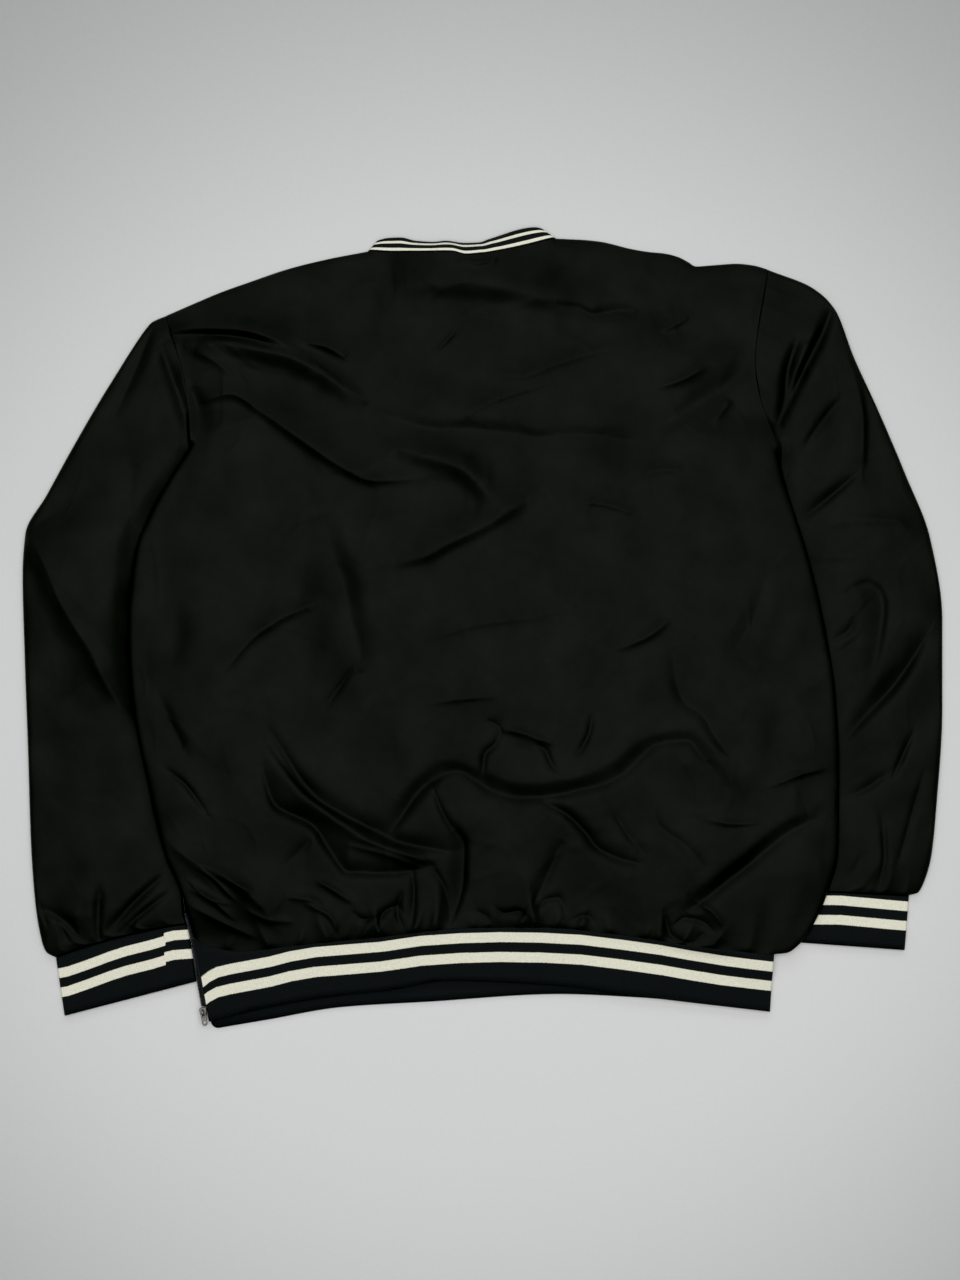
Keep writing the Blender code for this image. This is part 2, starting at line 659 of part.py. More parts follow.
def main():
    clear_scene()
    group = bpy.data.collections.new("pullover_windshirt")
    cutters = bpy.data.collections.new("cutters")
    bpy.context.scene.collection.children.link(group)
    bpy.context.scene.collection.children.link(cutters)
    root = bpy.data.objects.new("windshirt", None)
    group.objects.link(root)

    shell = material("Black nylon shell", (0.007, 0.008, 0.007), 0.6)
    rib = material("Black rib knit", (0.007, 0.009, 0.010), 0.85)
    tape = material("Black zip tape", (0.006, 0.006, 0.006), 0.8)
    coil = material("Black nylon coil", (0.02, 0.02, 0.02), 0.35)
    metal = material("Bright zinc", (0.6, 0.6, 0.6), 0.3, 1.0)

    rows = SIDE_ROWS + ARMHOLE_ROWS
    back = sheet_mesh("back_panel", BODY_COLUMNS, rows, back_place, fine_rows=range(GATHERED_ROWS + 1))
    add_sheet(group, "back_panel", back, shell, root, SHELL_WALL)
    front = sheet_mesh(
        "front_panel", BODY_COLUMNS // 2, rows // 2, lambda c, r: front_place(2 * c, 2 * r), flipped=True,
    )
    add_sheet(group, "front_panel", front, shell, root, SHELL_WALL)

    for side in SIDES:
        count = ARMHOLE_ROWS + ARMHOLE_ROWS // 2 + 2
        sections = len(side.sections) - 1
        mirrored = side.out < 0
        sleeve = sheet_mesh(
            "sleeve_" + side.name, count, 2 * sections,
            lambda c, r: sleeve_place(side, c, r / 2),
            fine_rows=range(2 * sections - 3, 2 * sections + 1), closed=True, flipped=mirrored,
        )
        add_sheet(group, "sleeve_" + side.name, sleeve, shell, root, SHELL_WALL)
        cuff = sheet_mesh(
            "cuff_" + side.name, 2 * CUFF_ACROSS + 2, CUFF_ROWS,
            lambda c, r: cuff_place(side, c, r), closed=True, flipped=mirrored,
        )
        add_sheet(group, "cuff_" + side.name, cuff, rib, root, RIB_WALL)

    band_columns = BAND_BACK_COLUMNS + 1 + BAND_FRONT_COLUMNS
    band = sheet_mesh("hem_band", band_columns, BAND_ROWS, band_place, flipped=True)
    add_sheet(group, "hem_band", band, rib, root, RIB_WALL)
    collar = sheet_mesh("collar", sum(COLLAR_COLUMNS) + 2, COLLAR_ROWS, collar_place, closed=True)
    add_sheet(group, "collar", collar, rib, root, RIB_WALL)

    add_zip(group, cutters, tape, coil, metal, root)


main()
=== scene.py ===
"""Finished look of a pullover windshirt that lies on the floor with its back upwards.

Tables are in millimetres, seen from above with +Y towards the collar, and the meshes are made in metres.
"""

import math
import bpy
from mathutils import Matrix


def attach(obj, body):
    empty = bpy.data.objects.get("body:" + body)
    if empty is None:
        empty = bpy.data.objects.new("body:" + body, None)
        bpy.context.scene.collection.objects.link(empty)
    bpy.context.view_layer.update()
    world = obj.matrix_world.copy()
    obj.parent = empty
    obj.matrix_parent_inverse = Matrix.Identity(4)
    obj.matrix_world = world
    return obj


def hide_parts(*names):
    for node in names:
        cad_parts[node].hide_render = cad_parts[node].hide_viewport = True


bl_info = {
    "name": "Pullover windshirt",
    "version": (1, 0, 0),
    "blender": (4, 5, 0),
    "location": "3D View > Sidebar > Windshirt",
    "description": "Makes a pullover windshirt of nylon and rib knit that lies flat with its back upwards",
    "category": "Add Mesh",
}

from typing import NamedTuple

import bmesh
import bpy
import numpy as np
from bpy.props import FloatProperty, FloatVectorProperty, IntProperty, PointerProperty
from mathutils import Matrix, Vector

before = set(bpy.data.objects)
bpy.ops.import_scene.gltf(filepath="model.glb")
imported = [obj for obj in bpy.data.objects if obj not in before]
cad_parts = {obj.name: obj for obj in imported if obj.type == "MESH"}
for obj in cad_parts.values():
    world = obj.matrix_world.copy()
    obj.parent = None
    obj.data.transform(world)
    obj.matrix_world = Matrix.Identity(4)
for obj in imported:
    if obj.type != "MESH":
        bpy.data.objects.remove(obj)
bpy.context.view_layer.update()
MM = 0.001

# How the layers lie on each other
SEAM_GAP = 0.3
ARMHOLE_GAP = 0.25
BAND_GAP = 0.2
RIB_HOLLOW = 0.8
BAND_HOLLOW = 1.2
SLEEVE_PRESSED = 4.0
FRONT_LIFT = 5.6
LIFT_FLAT = 14.0
LIFT_RAMP = 46.0
BACK_RAMP = 130.0  # the back comes down from the sleeves in a longer slope than the front
LIFT_EASE = 0.7
PRESS_MARGIN = 1.0
BACK_SWELL = 8.5
EDGE_SHARE = 0.4
EDGE_ROLL = 1.8
EDGE_SPREAD = 80.0
EDGE_HOLD = 7.0
HEM_SHARE = 0.62
HEM_ROLL = 26.0
NECK_SWELL = 7.5
NECK_SPREAD = 70.0
BAND_SWELL = 2.0
BAND_CORNER = 7.0
COLLAR_EDGE = 5.2
SLEEVE_CROWN = 2.3
SLEEVE_DEEP = 1.2  # how far a crease can sink into a sleeve that has no swell
SLEEVE_WRINKLE_SHARE = 0.4
FOLD_ROUND = 2.2
FOLD_HOLD = 6.0
HEM_HOLD = 6.0
CUFF_HOLD = 5.0
ARMHOLE_HOLD = 2.5
FRONT_HOLD = 20.0
FRONT_RELIEF = 0.25
FRONT_WRINKLE_RISE = 0.5
PRESS_START = 15.0  # over the armpit
PRESS_FADE = 30.0
BAND_JOIN = 9.0
BAND_EDGE_THIN = 0.12
COLLAR_FALL = 2.5
COLLAR_GAP = 1.4  # in seam gaps, and what is added at the collar's ends and at the front
COLLAR_END_GAP = 2.6
COLLAR_FRONT_GAP = 1.5
CREASE_FINE = 2.9  # cells are halved this near to a crease
INNER_CLEAR = 3.0  # how far round a place the back's inner wall keeps below its outer face

# Creases, soft swells and gathers
CREASE_STEP = 1.5  # from one dense point of a crease's path to the next
CREASE_REACH = 2.6  # how far a crease's slope is followed, in widths
CREASE_TAPER = 0.55
SWELL_WAVES = 14
WRINKLE_LAYERS = 3
WRINKLE_PATCH = 120
WRINKLE_SIZE = 75
WRINKLE_WIDTH = 0.11
GATHER_RISE = 2.2
GATHER_START = 2.5  # from the seam to a gather's full height
# Swells of each cloth, as rise, size and seed, and the seeds of the fine wrinkles
BACK_SWELLS = ((1.1, 75, 3), (0.35, 30, 4))
SLEEVE_SWELLS = ((0.9, 65, 5), (0.3, 28, 6))
FRONT_SWELLS = ((1.0, 70, 31),)
CUFF_SWELLS = ((0.5, 55, 8),)
BAND_SWELLS = ((0.5, 60, 9),)
BACK_WRINKLES = 11
SLEEVE_WRINKLES = 23
FRONT_WRINKLES = 37

# Grid of the shell's panels
BODY_COLUMNS = 48
BODY_ROWS = 36
ARMPIT_ROW = 26
NECK_COLUMNS = (16, 32)
COLUMN_CROWDING = 0.45  # the body's columns stand closer together at both sides
BODY_FINENESS = 6
INNER_FINENESS = 3
SLEEVE_ACROSS = 121
SLEEVE_UNDER = 6  # the underside has every sixth column
SLEEVE_ALONG = 312
SLEEVE_CROWDING = 0.8
ARMHOLE_SECTIONS = 3  # the armhole's curve fades out over these sections of a sleeve
JOIN_SECTIONS = 1.6
CUFF_SECTIONS = 2
RIB_STEPS = 4  # columns for each knitted rib
RIB_ROWS = 3  # rows from one edge of a stripe to the next

# Zip
ZIP_TOP_Y = -264.0
ZIP_END_Y = -351.0
ZIP_STATIONS = 9
ZIP_BULGE = 4.6
ZIP_SPLIT = 0.22
CHAIN_RADIUS = 1.1
TAPE_HEIGHT = 4.6
TAPE_CLEAR = 0.2
TAPE_ROUND = 0.8
TAPE_SPREAD = 0.2  # share of its section over which the front tape spreads to the sleeve
TAPE_CUFF_FADE = 4.0
TAPE_FLAT = (0.25, 0.45)  # where along the zip the tape begins to stand out, and over what share of it
TAPE_GRID = (16, 90)
TAPE_GAP = 0.04
FRONT_TAPE_START = -0.16
SLIDER_LENGTH = 9.0
SLIDER_RISE = 1.6  # the slider's upper face over the chain's middle
BRIDGE_OPENING_HEIGHT = 1.9
COIL_TURN = (0.75, 0.46, 0.85)  # half sizes of one turn across, along and up
COIL_ASIDE = 0.5
COIL_LEAN = 0.22
COIL_ENDS = (0.7, 0.4)
STITCH_RADIUS = 0.16
STITCH_SINK = 0.12
STITCH_LEAN = 0.4
SEAM_END = 4.0

# A wave texture of scale 1 has one ridge to 0.314 of its length
WAVE_SCALE = 0.314

# Stage, in metres
FLOOR_HALF = 3.0
FLOOR_DROP = 0.0004
FRAME_HEIGHT = 1.190  # height of the picture on the floor
CAMERA_SPOT = (-0.0023, -0.0112, 1.8)
SENSOR_MM = 36.0
BLACK_LEVEL = 0.007

# Outline of the back, as points in the plan
SIDE_LEFT = [
    (-267, -288), (-277.5, -248), (-295, -206), (-309, -146), (-325, -58),
    (-328, -2), (-321, 71), (-306, 108), (-269, 170),
]
ARMHOLE_LEFT = [(-269, 170), (-274, 221), (-293, 290)]
SIDE_RIGHT = [
    (270, -302), (281, -301), (292, -294), (306, -275), (319, -246), (329, -206),
    (330, -132), (327, -67), (314, 15), (298, 77), (279, 137), (273, 162),
]
ARMHOLE_RIGHT = [(273, 162), (252, 245), (264, 333)]
SHOULDER_LEFT = [
    (-293, 290), (-263, 303), (-244, 311), (-216, 321), (-179, 333.5), (-142, 342.5), (-107, 349),
]
NECK_BACK = [
    (-107, 349), (-80, 347), (-49, 346.5), (-28, 346), (-15, 343), (0, 344.5), (16, 347.5), (40, 353),
    (69, 361),
]
NECK_FRONT = [(-107, 349), (-88, 300), (-18, 278), (50, 306), (69, 361)]
SHOULDER_RIGHT = [
    (69, 361), (94, 360), (109, 358.5), (139, 351.5), (154, 349), (169, 347.5), (181, 344.5), (191, 339.5),
    (198, 335.5), (213, 336.5), (236, 338), (251, 336.5), (264, 333),
]
HEM_BACK = [
    (-267, -288), (-250, -295.5), (-226, -299.5), (-170, -293.5), (-95, -286), (-12, -277.5),
    (53, -277), (128, -284), (202, -295), (270, -302),
]
HEM_FRONT = [
    (-267, -288), (-201, -306), (-130, -298), (-49, -292),
    (72, -286), (143, -289), (202, -294), (270, -302),
]

# Free edges of the ribs
BAND_EDGE_BACK = [
    (-253, -365), (-201, -352), (-139, -341), (-86, -335),
    (-31, -326), (72, -331), (143, -341), (267, -356),
]
BAND_EDGE_FRONT = [
    (-251, -372.5), (-201, -364), (-130, -352), (-49, -347), (72, -340), (143, -343), (267, -356),
]
COLLAR_EDGE_BACK = [
    (-98, 359), (-88, 361.5), (-76, 362), (-62, 359), (-46, 358), (-34, 359), (-17, 357), (-3, 357.5),
    (6, 360.5), (49, 371.5), (56, 370),
]
COLLAR_EDGE_FRONT = [(-98, 359), (-70, 314), (-18, 298), (34, 318), (56, 370)]

# Upper edge of each rib's first pale stripe, in the plan; the second lies a step below it
HEM_STRIPE = [
    (-261, -324), (-255, -319), (-247, -314.5), (-235, -311.5), (-198, -304.5), (-179, -299.5),
    (-156, -295.5), (-95, -290.5), (-58, -285), (-21, -282.5), (16, -281.5), (54, -282), (91, -284),
    (128, -288.5), (165, -293.5), (193, -298.5), (221, -303), (268, -308.5),
]
CUFF_STRIPE_LEFT = [
    (-395, -316), (-385, -314), (-369, -308.5), (-345, -299.5), (-331, -295), (-307, -289), (-295.5, -285.5),
    (-295, -282.5), (-287, -280.5), (-273, -279.5),
]
CUFF_STRIPE_RIGHT = [(267, -247.5), (332, -248), (360, -250.5), (394, -253.5)]
HEM_STRIPE_STEP = 18.5
CUFF_STRIPE_STEP = 18.2
HEM_STRIPE_WIDTH = 9.3
CUFF_STRIPE_WIDTH = 8.8


class Section(NamedTuple):
    """A cut across a sleeve lying flat, from its outer edge to its inner edge."""

    outer_x: float
    outer_y: float
    inner_x: float
    inner_y: float
    crown: float = 5.0


class Crease(NamedTuple):
    """A ridge along a path, or a trough where the rise is negative, with its slope's width on either hand.

    A crest is sharp where crisp is 1 and round where it is 2.
    """

    path: list
    left: float
    right: float
    rise: float
    crisp: float = 1.4


class Pucker(NamedTuple):
    """A small gather that runs out of a seam: its place along it, reach, rise, half width and lean."""

    place: float
    reach: float
    rise: float
    width: float
    lean: float


class Lift(NamedTuple):
    """The stretch along a side, from the armpit down, in which the body lies on a sleeve."""

    top_none: float
    top_full: float
    low_full: float
    low_none: float


class Side(NamedTuple):
    """One sleeve with the stretch of the body that lies on it; out is the direction away from the body.

    The stripe is its cuff's first one, the bow is how far the cuff's seam rises between its ends, and the
    press is how far from the body's edge the sleeve swells up again.
    """

    name: str
    out: int
    sections: list
    cuff_outer: tuple
    cuff_inner: tuple
    armhole: list
    body_side: list
    lift: Lift
    creases: list
    stripe: list
    bow: float
    press: float


SECTIONS_LEFT = [
    Section(-293, 290, -269, 170),
    Section(-306, 284.5, -269.5, 161),
    Section(-346, 226, -274, 144),
    Section(-377.3, 173, -291, 114),
    Section(-404.3, 124, -299, 77),
    Section(-424.5, 87, -297, 35),
    Section(-427, 46, -294, -11),
    Section(-425, -30, -290, -76),
    Section(-422, -113, -287, -146),
    Section(-419, -206, -283, -211),
    Section(-413, -272, -278, -250),
    Section(-405, -301, -276.5, -266.5, 3.0),
    Section(-396, -306, -273.6, -275, 1.2),
]
SECTIONS_RIGHT = [
    Section(264, 333, 273, 162),
    Section(306, 316, 275.7, 152),
    Section(327, 296, 275.8, 138),
    Section(345, 251, 277, 118),
    Section(367, 203, 287, 93),
    Section(393, 142, 292, 54),
    Section(416, 82, 292, 7),
    Section(427, 7, 293, -58),
    Section(427, -76, 295, -123),
    Section(422, -160, 295, -179),
    Section(416, -216, 288, -220),
    Section(404, -246, 274, -235, 3.0),
    Section(396, -248, 273, -243, 1.2),
]

BACK_CREASES = [
    # From the left armhole across the shoulder blades
    Crease([
        (-292, 274), (-262, 276.5), (-233, 275.5), (-204, 270), (-180, 261), (-163, 253),
    ], 14, 8, 11, 1.5),
    Crease([(-166, 264), (-146, 260), (-124, 248)], 8, 3.2, 5),
    Crease([(-291, 271), (-268, 271.5), (-245, 270.5), (-215, 267), (-190, 259)], 5, 4, -3.6),
    Crease([
        (-282, 262), (-240, 262), (-212, 257), (-177, 249), (-153, 238), (-128, 221), (-103, 203),
    ], 7, 11, 9, 1.8),
    Crease([(-267, 256), (-247, 246), (-230, 232)], 8, 5, 3),
    Crease([
        (-142, 232), (-121, 215), (-97, 199), (-73, 191), (-41, 184), (-11, 184), (24, 181),
        (52, 176), (83, 179), (128, 175), (160, 170), (193, 161),
    ], 7, 26, -6),
    Crease([
        (-266, 208), (-233, 216), (-205, 200), (-161, 169), (-131, 149), (-100, 136), (-56, 138),
    ], 16, 4.5, 5.8),
    Crease([(-270, 224), (-264, 204), (-262, 188), (-263, 172)], 8, 6, -6),
    Crease([
        (-92, 156), (-77, 166), (-56, 160), (-32, 153), (-14, 144), (4, 125), (18, 114),
    ], 16, 10, 8, 1.8),
    Crease([(-82, 59), (-52, 67), (-32, 78), (1, 94), (30, 111), (42, 118)], 18, 6, 5, 1.8),
    # Under the collar and from the right armhole
    Crease([(-88, 316), (-20, 318), (24, 314), (52, 308), (80, 302), (112, 292)], 24, 12, 7, 2.0),
    Crease([(108, 288), (128, 294), (146, 292)], 6, 4, -3),
    Crease([(-41, 257), (-24, 274)], 3, 2, 1.6),
    Crease([(-23, 341), (-15, 337), (-4, 335.5), (7, 337.5), (13, 341)], 2, 2.6, 3),
    Crease([(0, 234), (35, 232), (66, 243), (102, 254), (141, 261)], 10, 4, 2.0, 1.7),
    Crease([(-19, 192), (0, 205), (23, 214), (66, 227)], 8, 3, 1.5),
    Crease([(166, 275), (178, 280), (192, 288)], 4, 2.4, 2.8),
    Crease([(66, 299), (88, 296), (102, 290), (122, 293), (146, 290)], 5, 5, -2.8),
    Crease([(162, 222), (182, 228), (206, 241)], 4, 3, 2.6),
    Crease([(160, 224), (199, 238), (224, 252), (249, 268)], 12, 8, 1.8, 1.8),
    Crease([(162, 184), (200, 208), (230, 228), (246, 246)], 9, 8, -4.2, 1.8),
    Crease([(212, 189), (231, 211)], 7, 4, 2.4),
    Crease([(145, 141), (165, 146), (187, 146)], 8, 5, 2.6),
    Crease([(84, 117), (110, 114), (146, 104)], 6, 2.6, 1.6),
    # Middle of the back
    Crease([(-238, -40), (-209, -7), (-179, 12), (-146, 25)], 10, 4, 3.4),
    Crease([(-151, 108), (-139, 71), (-129, 41), (-123, 14), (-118, -19), (-110, -45)], 13, 30, 9, 1.8),
    Crease([(-119, -36), (-136, -60), (-147, -75)], 2.8, 2.8, -2.2),
    Crease([(-70, -20), (-36, -6), (-3, 3), (44, 9), (88, 21)], 12, 3.2, 1.2),
    Crease([(126, -20), (155, -7), (173, 7)], 6, 2.6, 2.9),
    Crease([(175, -15), (179, -48), (187, -68), (203, -80), (215, -100), (230, -122)], 12, 6, -4.5),
    Crease([(263, 52), (251, 10), (230, -23)], 6.5, 10, -2.2),
    Crease([(-50, -71), (-20, -66), (11, -64)], 5, 2, 1.4),
    Crease([(-282, 20), (-286, -18), (-306, -28)], 9, 9, -1.3, 2.0),
    Crease([(-301, -58), (-286, -91), (-271, -121)], 5, 8, -2.2, 1.7),
    # The long arc above the blouse of the hem and what runs into it
    Crease([
        (-84, -186), (-62, -158), (-44, -140), (-24, -132), (-6, -141), (8, -150), (36, -157),
        (70, -154), (92, -149), (112, -144), (130, -135), (148, -118), (162, -107), (189, -104),
        (201, -117), (224, -147),
    ], 9, 4, -3.8, 1.6),
    Crease([(-86, -190), (-72, -170), (-60, -152), (-46, -139)], 7, 4, -4.5),
    Crease([
        (-92, -173), (-72, -146), (-36, -120), (-2, -130), (36, -142), (82, -138),
        (117, -123), (148, -101), (193, -92), (214, -110), (236, -140),
    ], 24, 9, 2.4, 2.0),
    Crease([(-20, -168), (60, -176), (140, -165)], 36, 36, 2.5),
    Crease([(16, -94), (35, -97), (52, -103), (68, -108)], 5, 2.6, 2.9),
    Crease([(50, -107), (58, -113), (63, -124), (69, -133)], 2.6, 2.6, -2.9),
    Crease([(0, -138), (2, -118), (12, -107), (17, -96)], 3.2, 3.2, -3.6),
    Crease([(18, -98), (13, -90), (4, -86)], 2.4, 2.4, -2.2),
    Crease([(86, -119), (94, -107), (99, -96), (102, -80)], 2.6, 2.6, -3),
    # Lower left
    Crease([
        (-200, -104), (-181, -130), (-162, -152), (-129, -173), (-101, -187), (-75, -199), (-25, -208),
    ], 7, 3, -6),
    Crease([(-199, -92), (-183, -117), (-168, -140), (-152, -158)], 5, 3, -3.5),
    Crease([
        (-190, -118), (-168, -148), (-142, -172), (-112, -192), (-80, -207), (-47, -214),
    ], 6, 8, 4.5, 1.6),
    Crease([
        (-204, -128), (-193, -162), (-156, -184), (-140, -208), (-124, -226), (-84, -227), (-51, -222),
    ], 7, 3, -7),
    Crease([(-127, -200), (-86, -211), (-54, -224)], 3, 1.8, 1.6),
    Crease([(-121, -193), (-81, -205), (-49, -218)], 3, 1.8, 1.3),
    Crease([(-293, -130), (-276, -143), (-253, -174)], 2.6, 2.6, -2.9),
    Crease([(-292, -196), (-270, -214), (-238, -228), (-218, -243), (-199, -263), (-190, -277)], 9, 6, 4.5),
    Crease([(-269, -219), (-251, -229), (-230, -250)], 3, 1.8, 2.6),
    Crease([(-272, -233), (-252, -250), (-234, -255)], 3, 1.8, 2.4),
    Crease([(-182, -219), (-170, -208), (-158, -195)], 4, 3, -2),
    Crease([(-165, -254), (-141, -267), (-134, -281)], 4, 2, 3),
    Crease([(-155, -233), (-137, -243), (-120, -254)], 4, 2.4, 3.2),
    Crease([(-180, -249), (-160, -251), (-147, -255)], 4, 2.4, 2.4),
    Crease([(-97, -281), (-92, -264), (-78, -257), (-73, -266)], 2.4, 2.4, -3),
    Crease([(-271, -257), (-237, -274), (-210, -287)], 5, 2.6, 3.6),
    Crease([(-272, -241), (-250, -252), (-229, -270)], 4, 2, 2.6),
    Crease([(-250, -226), (-210, -244)], 4, 2, 2.2),
    # Down to the hem in the middle and at the right
    Crease([(-25, -184), (-17, -202), (-18, -233), (-28, -272)], 2.5, 9, -9),
    Crease([(-46, -148), (-38, -168), (-24, -193)], 2.6, 2.6, -2.6),
    Crease([(-6, -262), (4, -268), (9, -276)], 3, 2, -2.6),
    Crease([(12, -258), (20, -264), (34, -262), (42, -270)], 2.4, 3, -2.8),
    Crease([(52, -262), (58, -252), (70, -250), (76, -262)], 3, 2.2, -3),
    Crease([(84, -270), (96, -266), (104, -274)], 2.2, 3, -2.4),
    Crease([(-120, -262), (-110, -270), (-96, -268)], 3, 2.4, -2.6),
    Crease([(-215, -262), (-198, -270), (-176, -272)], 3, 2.2, 2.2),
    Crease([(176, -276), (188, -268), (204, -272), (214, -282)], 2.6, 3.2, -3.4),
    Crease([(196, -252), (212, -262), (222, -276)], 3, 2.4, 2.6),
    Crease([(76, -194), (64, -220), (54, -243), (40, -264)], 5, 8, -4),
    Crease([(-65, -222), (-63, -245), (-65, -274)], 2, 4, -3.5),
    Crease([(-47, -219), (-34, -243), (-30, -262), (-30, -276)], 2, 4, -3.5),
    Crease([(-74, -244), (-79, -261), (-74, -279)], 2.6, 2.6, -3.6),
    Crease([(54, -160), (76, -171), (94, -188), (107, -204), (128, -214), (148, -219)], 4.5, 3.6, -5),
    Crease([(120, -169), (137, -195), (150, -209)], 5, 2.6, -2.2),
    Crease([(154, -158), (163, -182), (186, -200), (207, -222)], 3.9, 6, -2.2),
    Crease([
        (186, -263), (202, -253), (225, -235), (247, -218), (268, -200), (286, -187), (308, -176),
    ], 9, 4.5, -7),
    Crease([(186, -248), (216, -227), (239, -209), (260, -191), (278, -178), (302, -168)], 20, 9, 4, 2.0),
    Crease([(168, -263), (174, -284), (194, -292), (202, -284)], 2.6, 2.6, -4.5),
    Crease([(264, -147), (299, -134), (317, -130)], 5, 2, 2.2),
    Crease([(208, -178), (234, -181), (257, -179)], 5, 2, 2.2),
]
RIGHT_CREASES = [
    Crease([(276, 190), (289, 220), (300, 243), (314, 270), (325, 298)], 4.2, 3.4, -18, 1.2),
    Crease([(280, 196), (290, 230), (299, 256), (310, 280)], 4, 5, 3.5),
    Crease([(274, 190), (280, 209), (283, 238), (291, 266)], 3.6, 3.6, -14, 1.2),
    Crease([(292, 268), (308, 265), (316, 272)], 2, 2, -2.5),
    Crease([(298, 168), (312, 188), (332, 213)], 4, 6, -4),
    Crease([(343, 240), (349, 215), (352, 190), (352, 150)], 2.5, 10, 5),
    Crease([(290, 96), (313, 114), (344, 140)], 5, 2.6, -9, 1.2),
    Crease([(320, 96), (348, 100), (380, 99), (395, 90)], 5, 6, 2),
    Crease([(301, 63), (325, 66), (348, 67)], 7, 5, 2.4),
    Crease([(342, 37), (354, 41), (368, 33), (371, 19), (368, -8), (360, -47)], 3, 14, -6),
    Crease([(316, -16), (334, -7), (341, -1), (345, 8)], 4, 2.5, -6),
    Crease([(316, -28), (330, -24), (347, -11)], 5, 3, -5),
    Crease([(330, -110), (352, -85), (380, -55), (399, -28), (410, -9)], 8, 3, -13, 1.2),
    Crease([(329, -160), (354, -150), (375, -135)], 5, 2.4, -4.5),
    Crease([(367, -165), (371, -185), (372, -210), (367, -239)], 2.3, 2.3, -2.9),
    Crease([(379, -140), (387, -123), (399, -96)], 3, 2, -3.4),
    Crease([(384, -219), (392, -193), (399, -168), (408, -135)], 3.2, 3.2, -2.2),
    Crease([(342, -231), (354, -206)], 2.6, 2.6, -2.5),
]
LEFT_CREASES = [
    Crease([(-426, 92), (-408, 64), (-389, 23), (-364, -18), (-334, -72), (-318, -88)], 40, 9, 10.5, 1.05),
    Crease([
        (-284, 165), (-302, 138), (-324, 108), (-339, 72), (-342, 20), (-340, -30), (-334, -74),
    ], 11, 26, 5, 1.8),
    Crease([(-297, 260), (-289, 236), (-281, 214), (-275, 190), (-271, 170)], 6, 5, -7),
    Crease([(-306, 278), (-318, 248), (-330, 220), (-340, 198)], 6, 6, -4.5),
    Crease([(-354, -241), (-356, -273), (-355, -297)], 3, 3, -6),
    Crease([(-349, -283), (-324, -255), (-296, -229)], 3, 4.5, -6),
    Crease([(-338, -285), (-315, -264), (-289, -244)], 3, 3, -4),
    Crease([(-414, -259), (-396, -266), (-379, -280), (-370, -294)], 6, 2.5, -5),
    Crease([(-393, -273), (-382, -292)], 2.6, 2.6, -2.2),
    Crease([(-414, -250), (-402, -276)], 2.6, 2.6, -1.8),
    Crease([(-324, 157), (-326, 84)], 7.8, 12, -2.2),
]

# Gathers where the shell is sewn to the hem band; the place is measured along X
HEM_PUCKERS = [
    Pucker(-238, 12, 1.2, 4.5, 0.6),
    Pucker(-196, 20, 2.0, 5.0, -0.5),
    Pucker(-170, 14, 1.6, 4.0, 0.3),
    Pucker(-142, 22, 2.4, 5.0, -0.4),
    Pucker(-128, 11, 1.4, 3.6, 0.2),
    Pucker(-111, 16, 1.8, 4.2, 0.5),
    Pucker(-95, 24, 2.6, 4.6, -0.2),
    Pucker(-63, 18, 2.2, 4.4, 0.3),
    Pucker(-44, 26, 2.8, 5.0, 0.1),
    Pucker(-8, 10, 1.5, 3.4, -0.3),
    Pucker(4, 8, 1.2, 3.0, 0.4),
    Pucker(35, 18, 2.2, 4.0, 0.4),
    Pucker(49, 24, 2.8, 4.6, -0.2),
    Pucker(67, 15, 2.0, 3.8, 0.3),
    Pucker(77, 9, 1.3, 3.0, -0.4),
    Pucker(91, 16, 2.0, 4.2, 0.2),
    Pucker(119, 12, 1.6, 3.8, -0.3),
    Pucker(150, 13, 1.6, 4.0, 0.3),
    Pucker(163, 18, 2.2, 4.2, 0.1),
    Pucker(184, 16, 2.4, 4.4, 0.5),
    Pucker(209, 13, 1.7, 6.0, 0.8),
    Pucker(246, 22, 1.3, 8.0, 0.2),
]
# Gathers at a cuff; the place is the share across the sleeve from its outer edge
CUFF_PUCKERS = [
    Pucker(0.09, 17, 0.8, 5.0, 0.3),
    Pucker(0.25, 24, 1.1, 4.4, 0.2),
    Pucker(0.34, 11, 0.6, 3.0, 0.5),
    Pucker(0.47, 28, 1.0, 5.6, -0.2),
    Pucker(0.66, 18, 0.9, 4.0, 0.5),
    Pucker(0.71, 12, 0.7, 2.6, -0.4),
    Pucker(0.88, 15, 0.8, 4.4, 0.3),
]

SIDES = [
    Side("left", -1, SECTIONS_LEFT, (-388, -360), (-265.2, -328), ARMHOLE_LEFT, SIDE_LEFT,
         Lift(208, 174, -242, -290), LEFT_CREASES, CUFF_STRIPE_LEFT, 4.2, 13.0),
    Side("right", 1, SECTIONS_RIGHT, (392, -299), (268, -290), ARMHOLE_RIGHT, SIDE_RIGHT,
         Lift(200, 166, -300, -345), RIGHT_CREASES, CUFF_STRIPE_RIGHT, 0.0, 22.0),
]
# Where the two pale stripes begin and end, as shares of a rib's height from its seam
RIB_STRIPES = (0.165, 0.33, 0.51, 0.68)
FRONT_STRIPES = (0.10, 0.26, 0.42, 0.58)
COLLAR_STRIPES = (0.08, 0.26, 0.57, 0.74)


def linear(colour):
    """Linear red, green and blue of an sRGB hex value."""
    shares = [int(colour[i:i + 2], 16) / 255 for i in (1, 3, 5)]
    return tuple(s / 12.92 if s <= 0.04045 else ((s + 0.055) / 1.055) ** 2.4 for s in shares)


def length_of(name, description, default, low, high):
    """A length for the sidebar, in metres."""
    return FloatProperty(
        name=name, description=description, default=default, min=low, max=high, precision=5, unit="LENGTH")


def colour_of(name, description, colour):
    """A colour for the sidebar, from its sRGB hex value."""
    return FloatVectorProperty(
        name=name, description=description, default=linear(colour), min=0.0, max=1.0, size=3, subtype="COLOR")


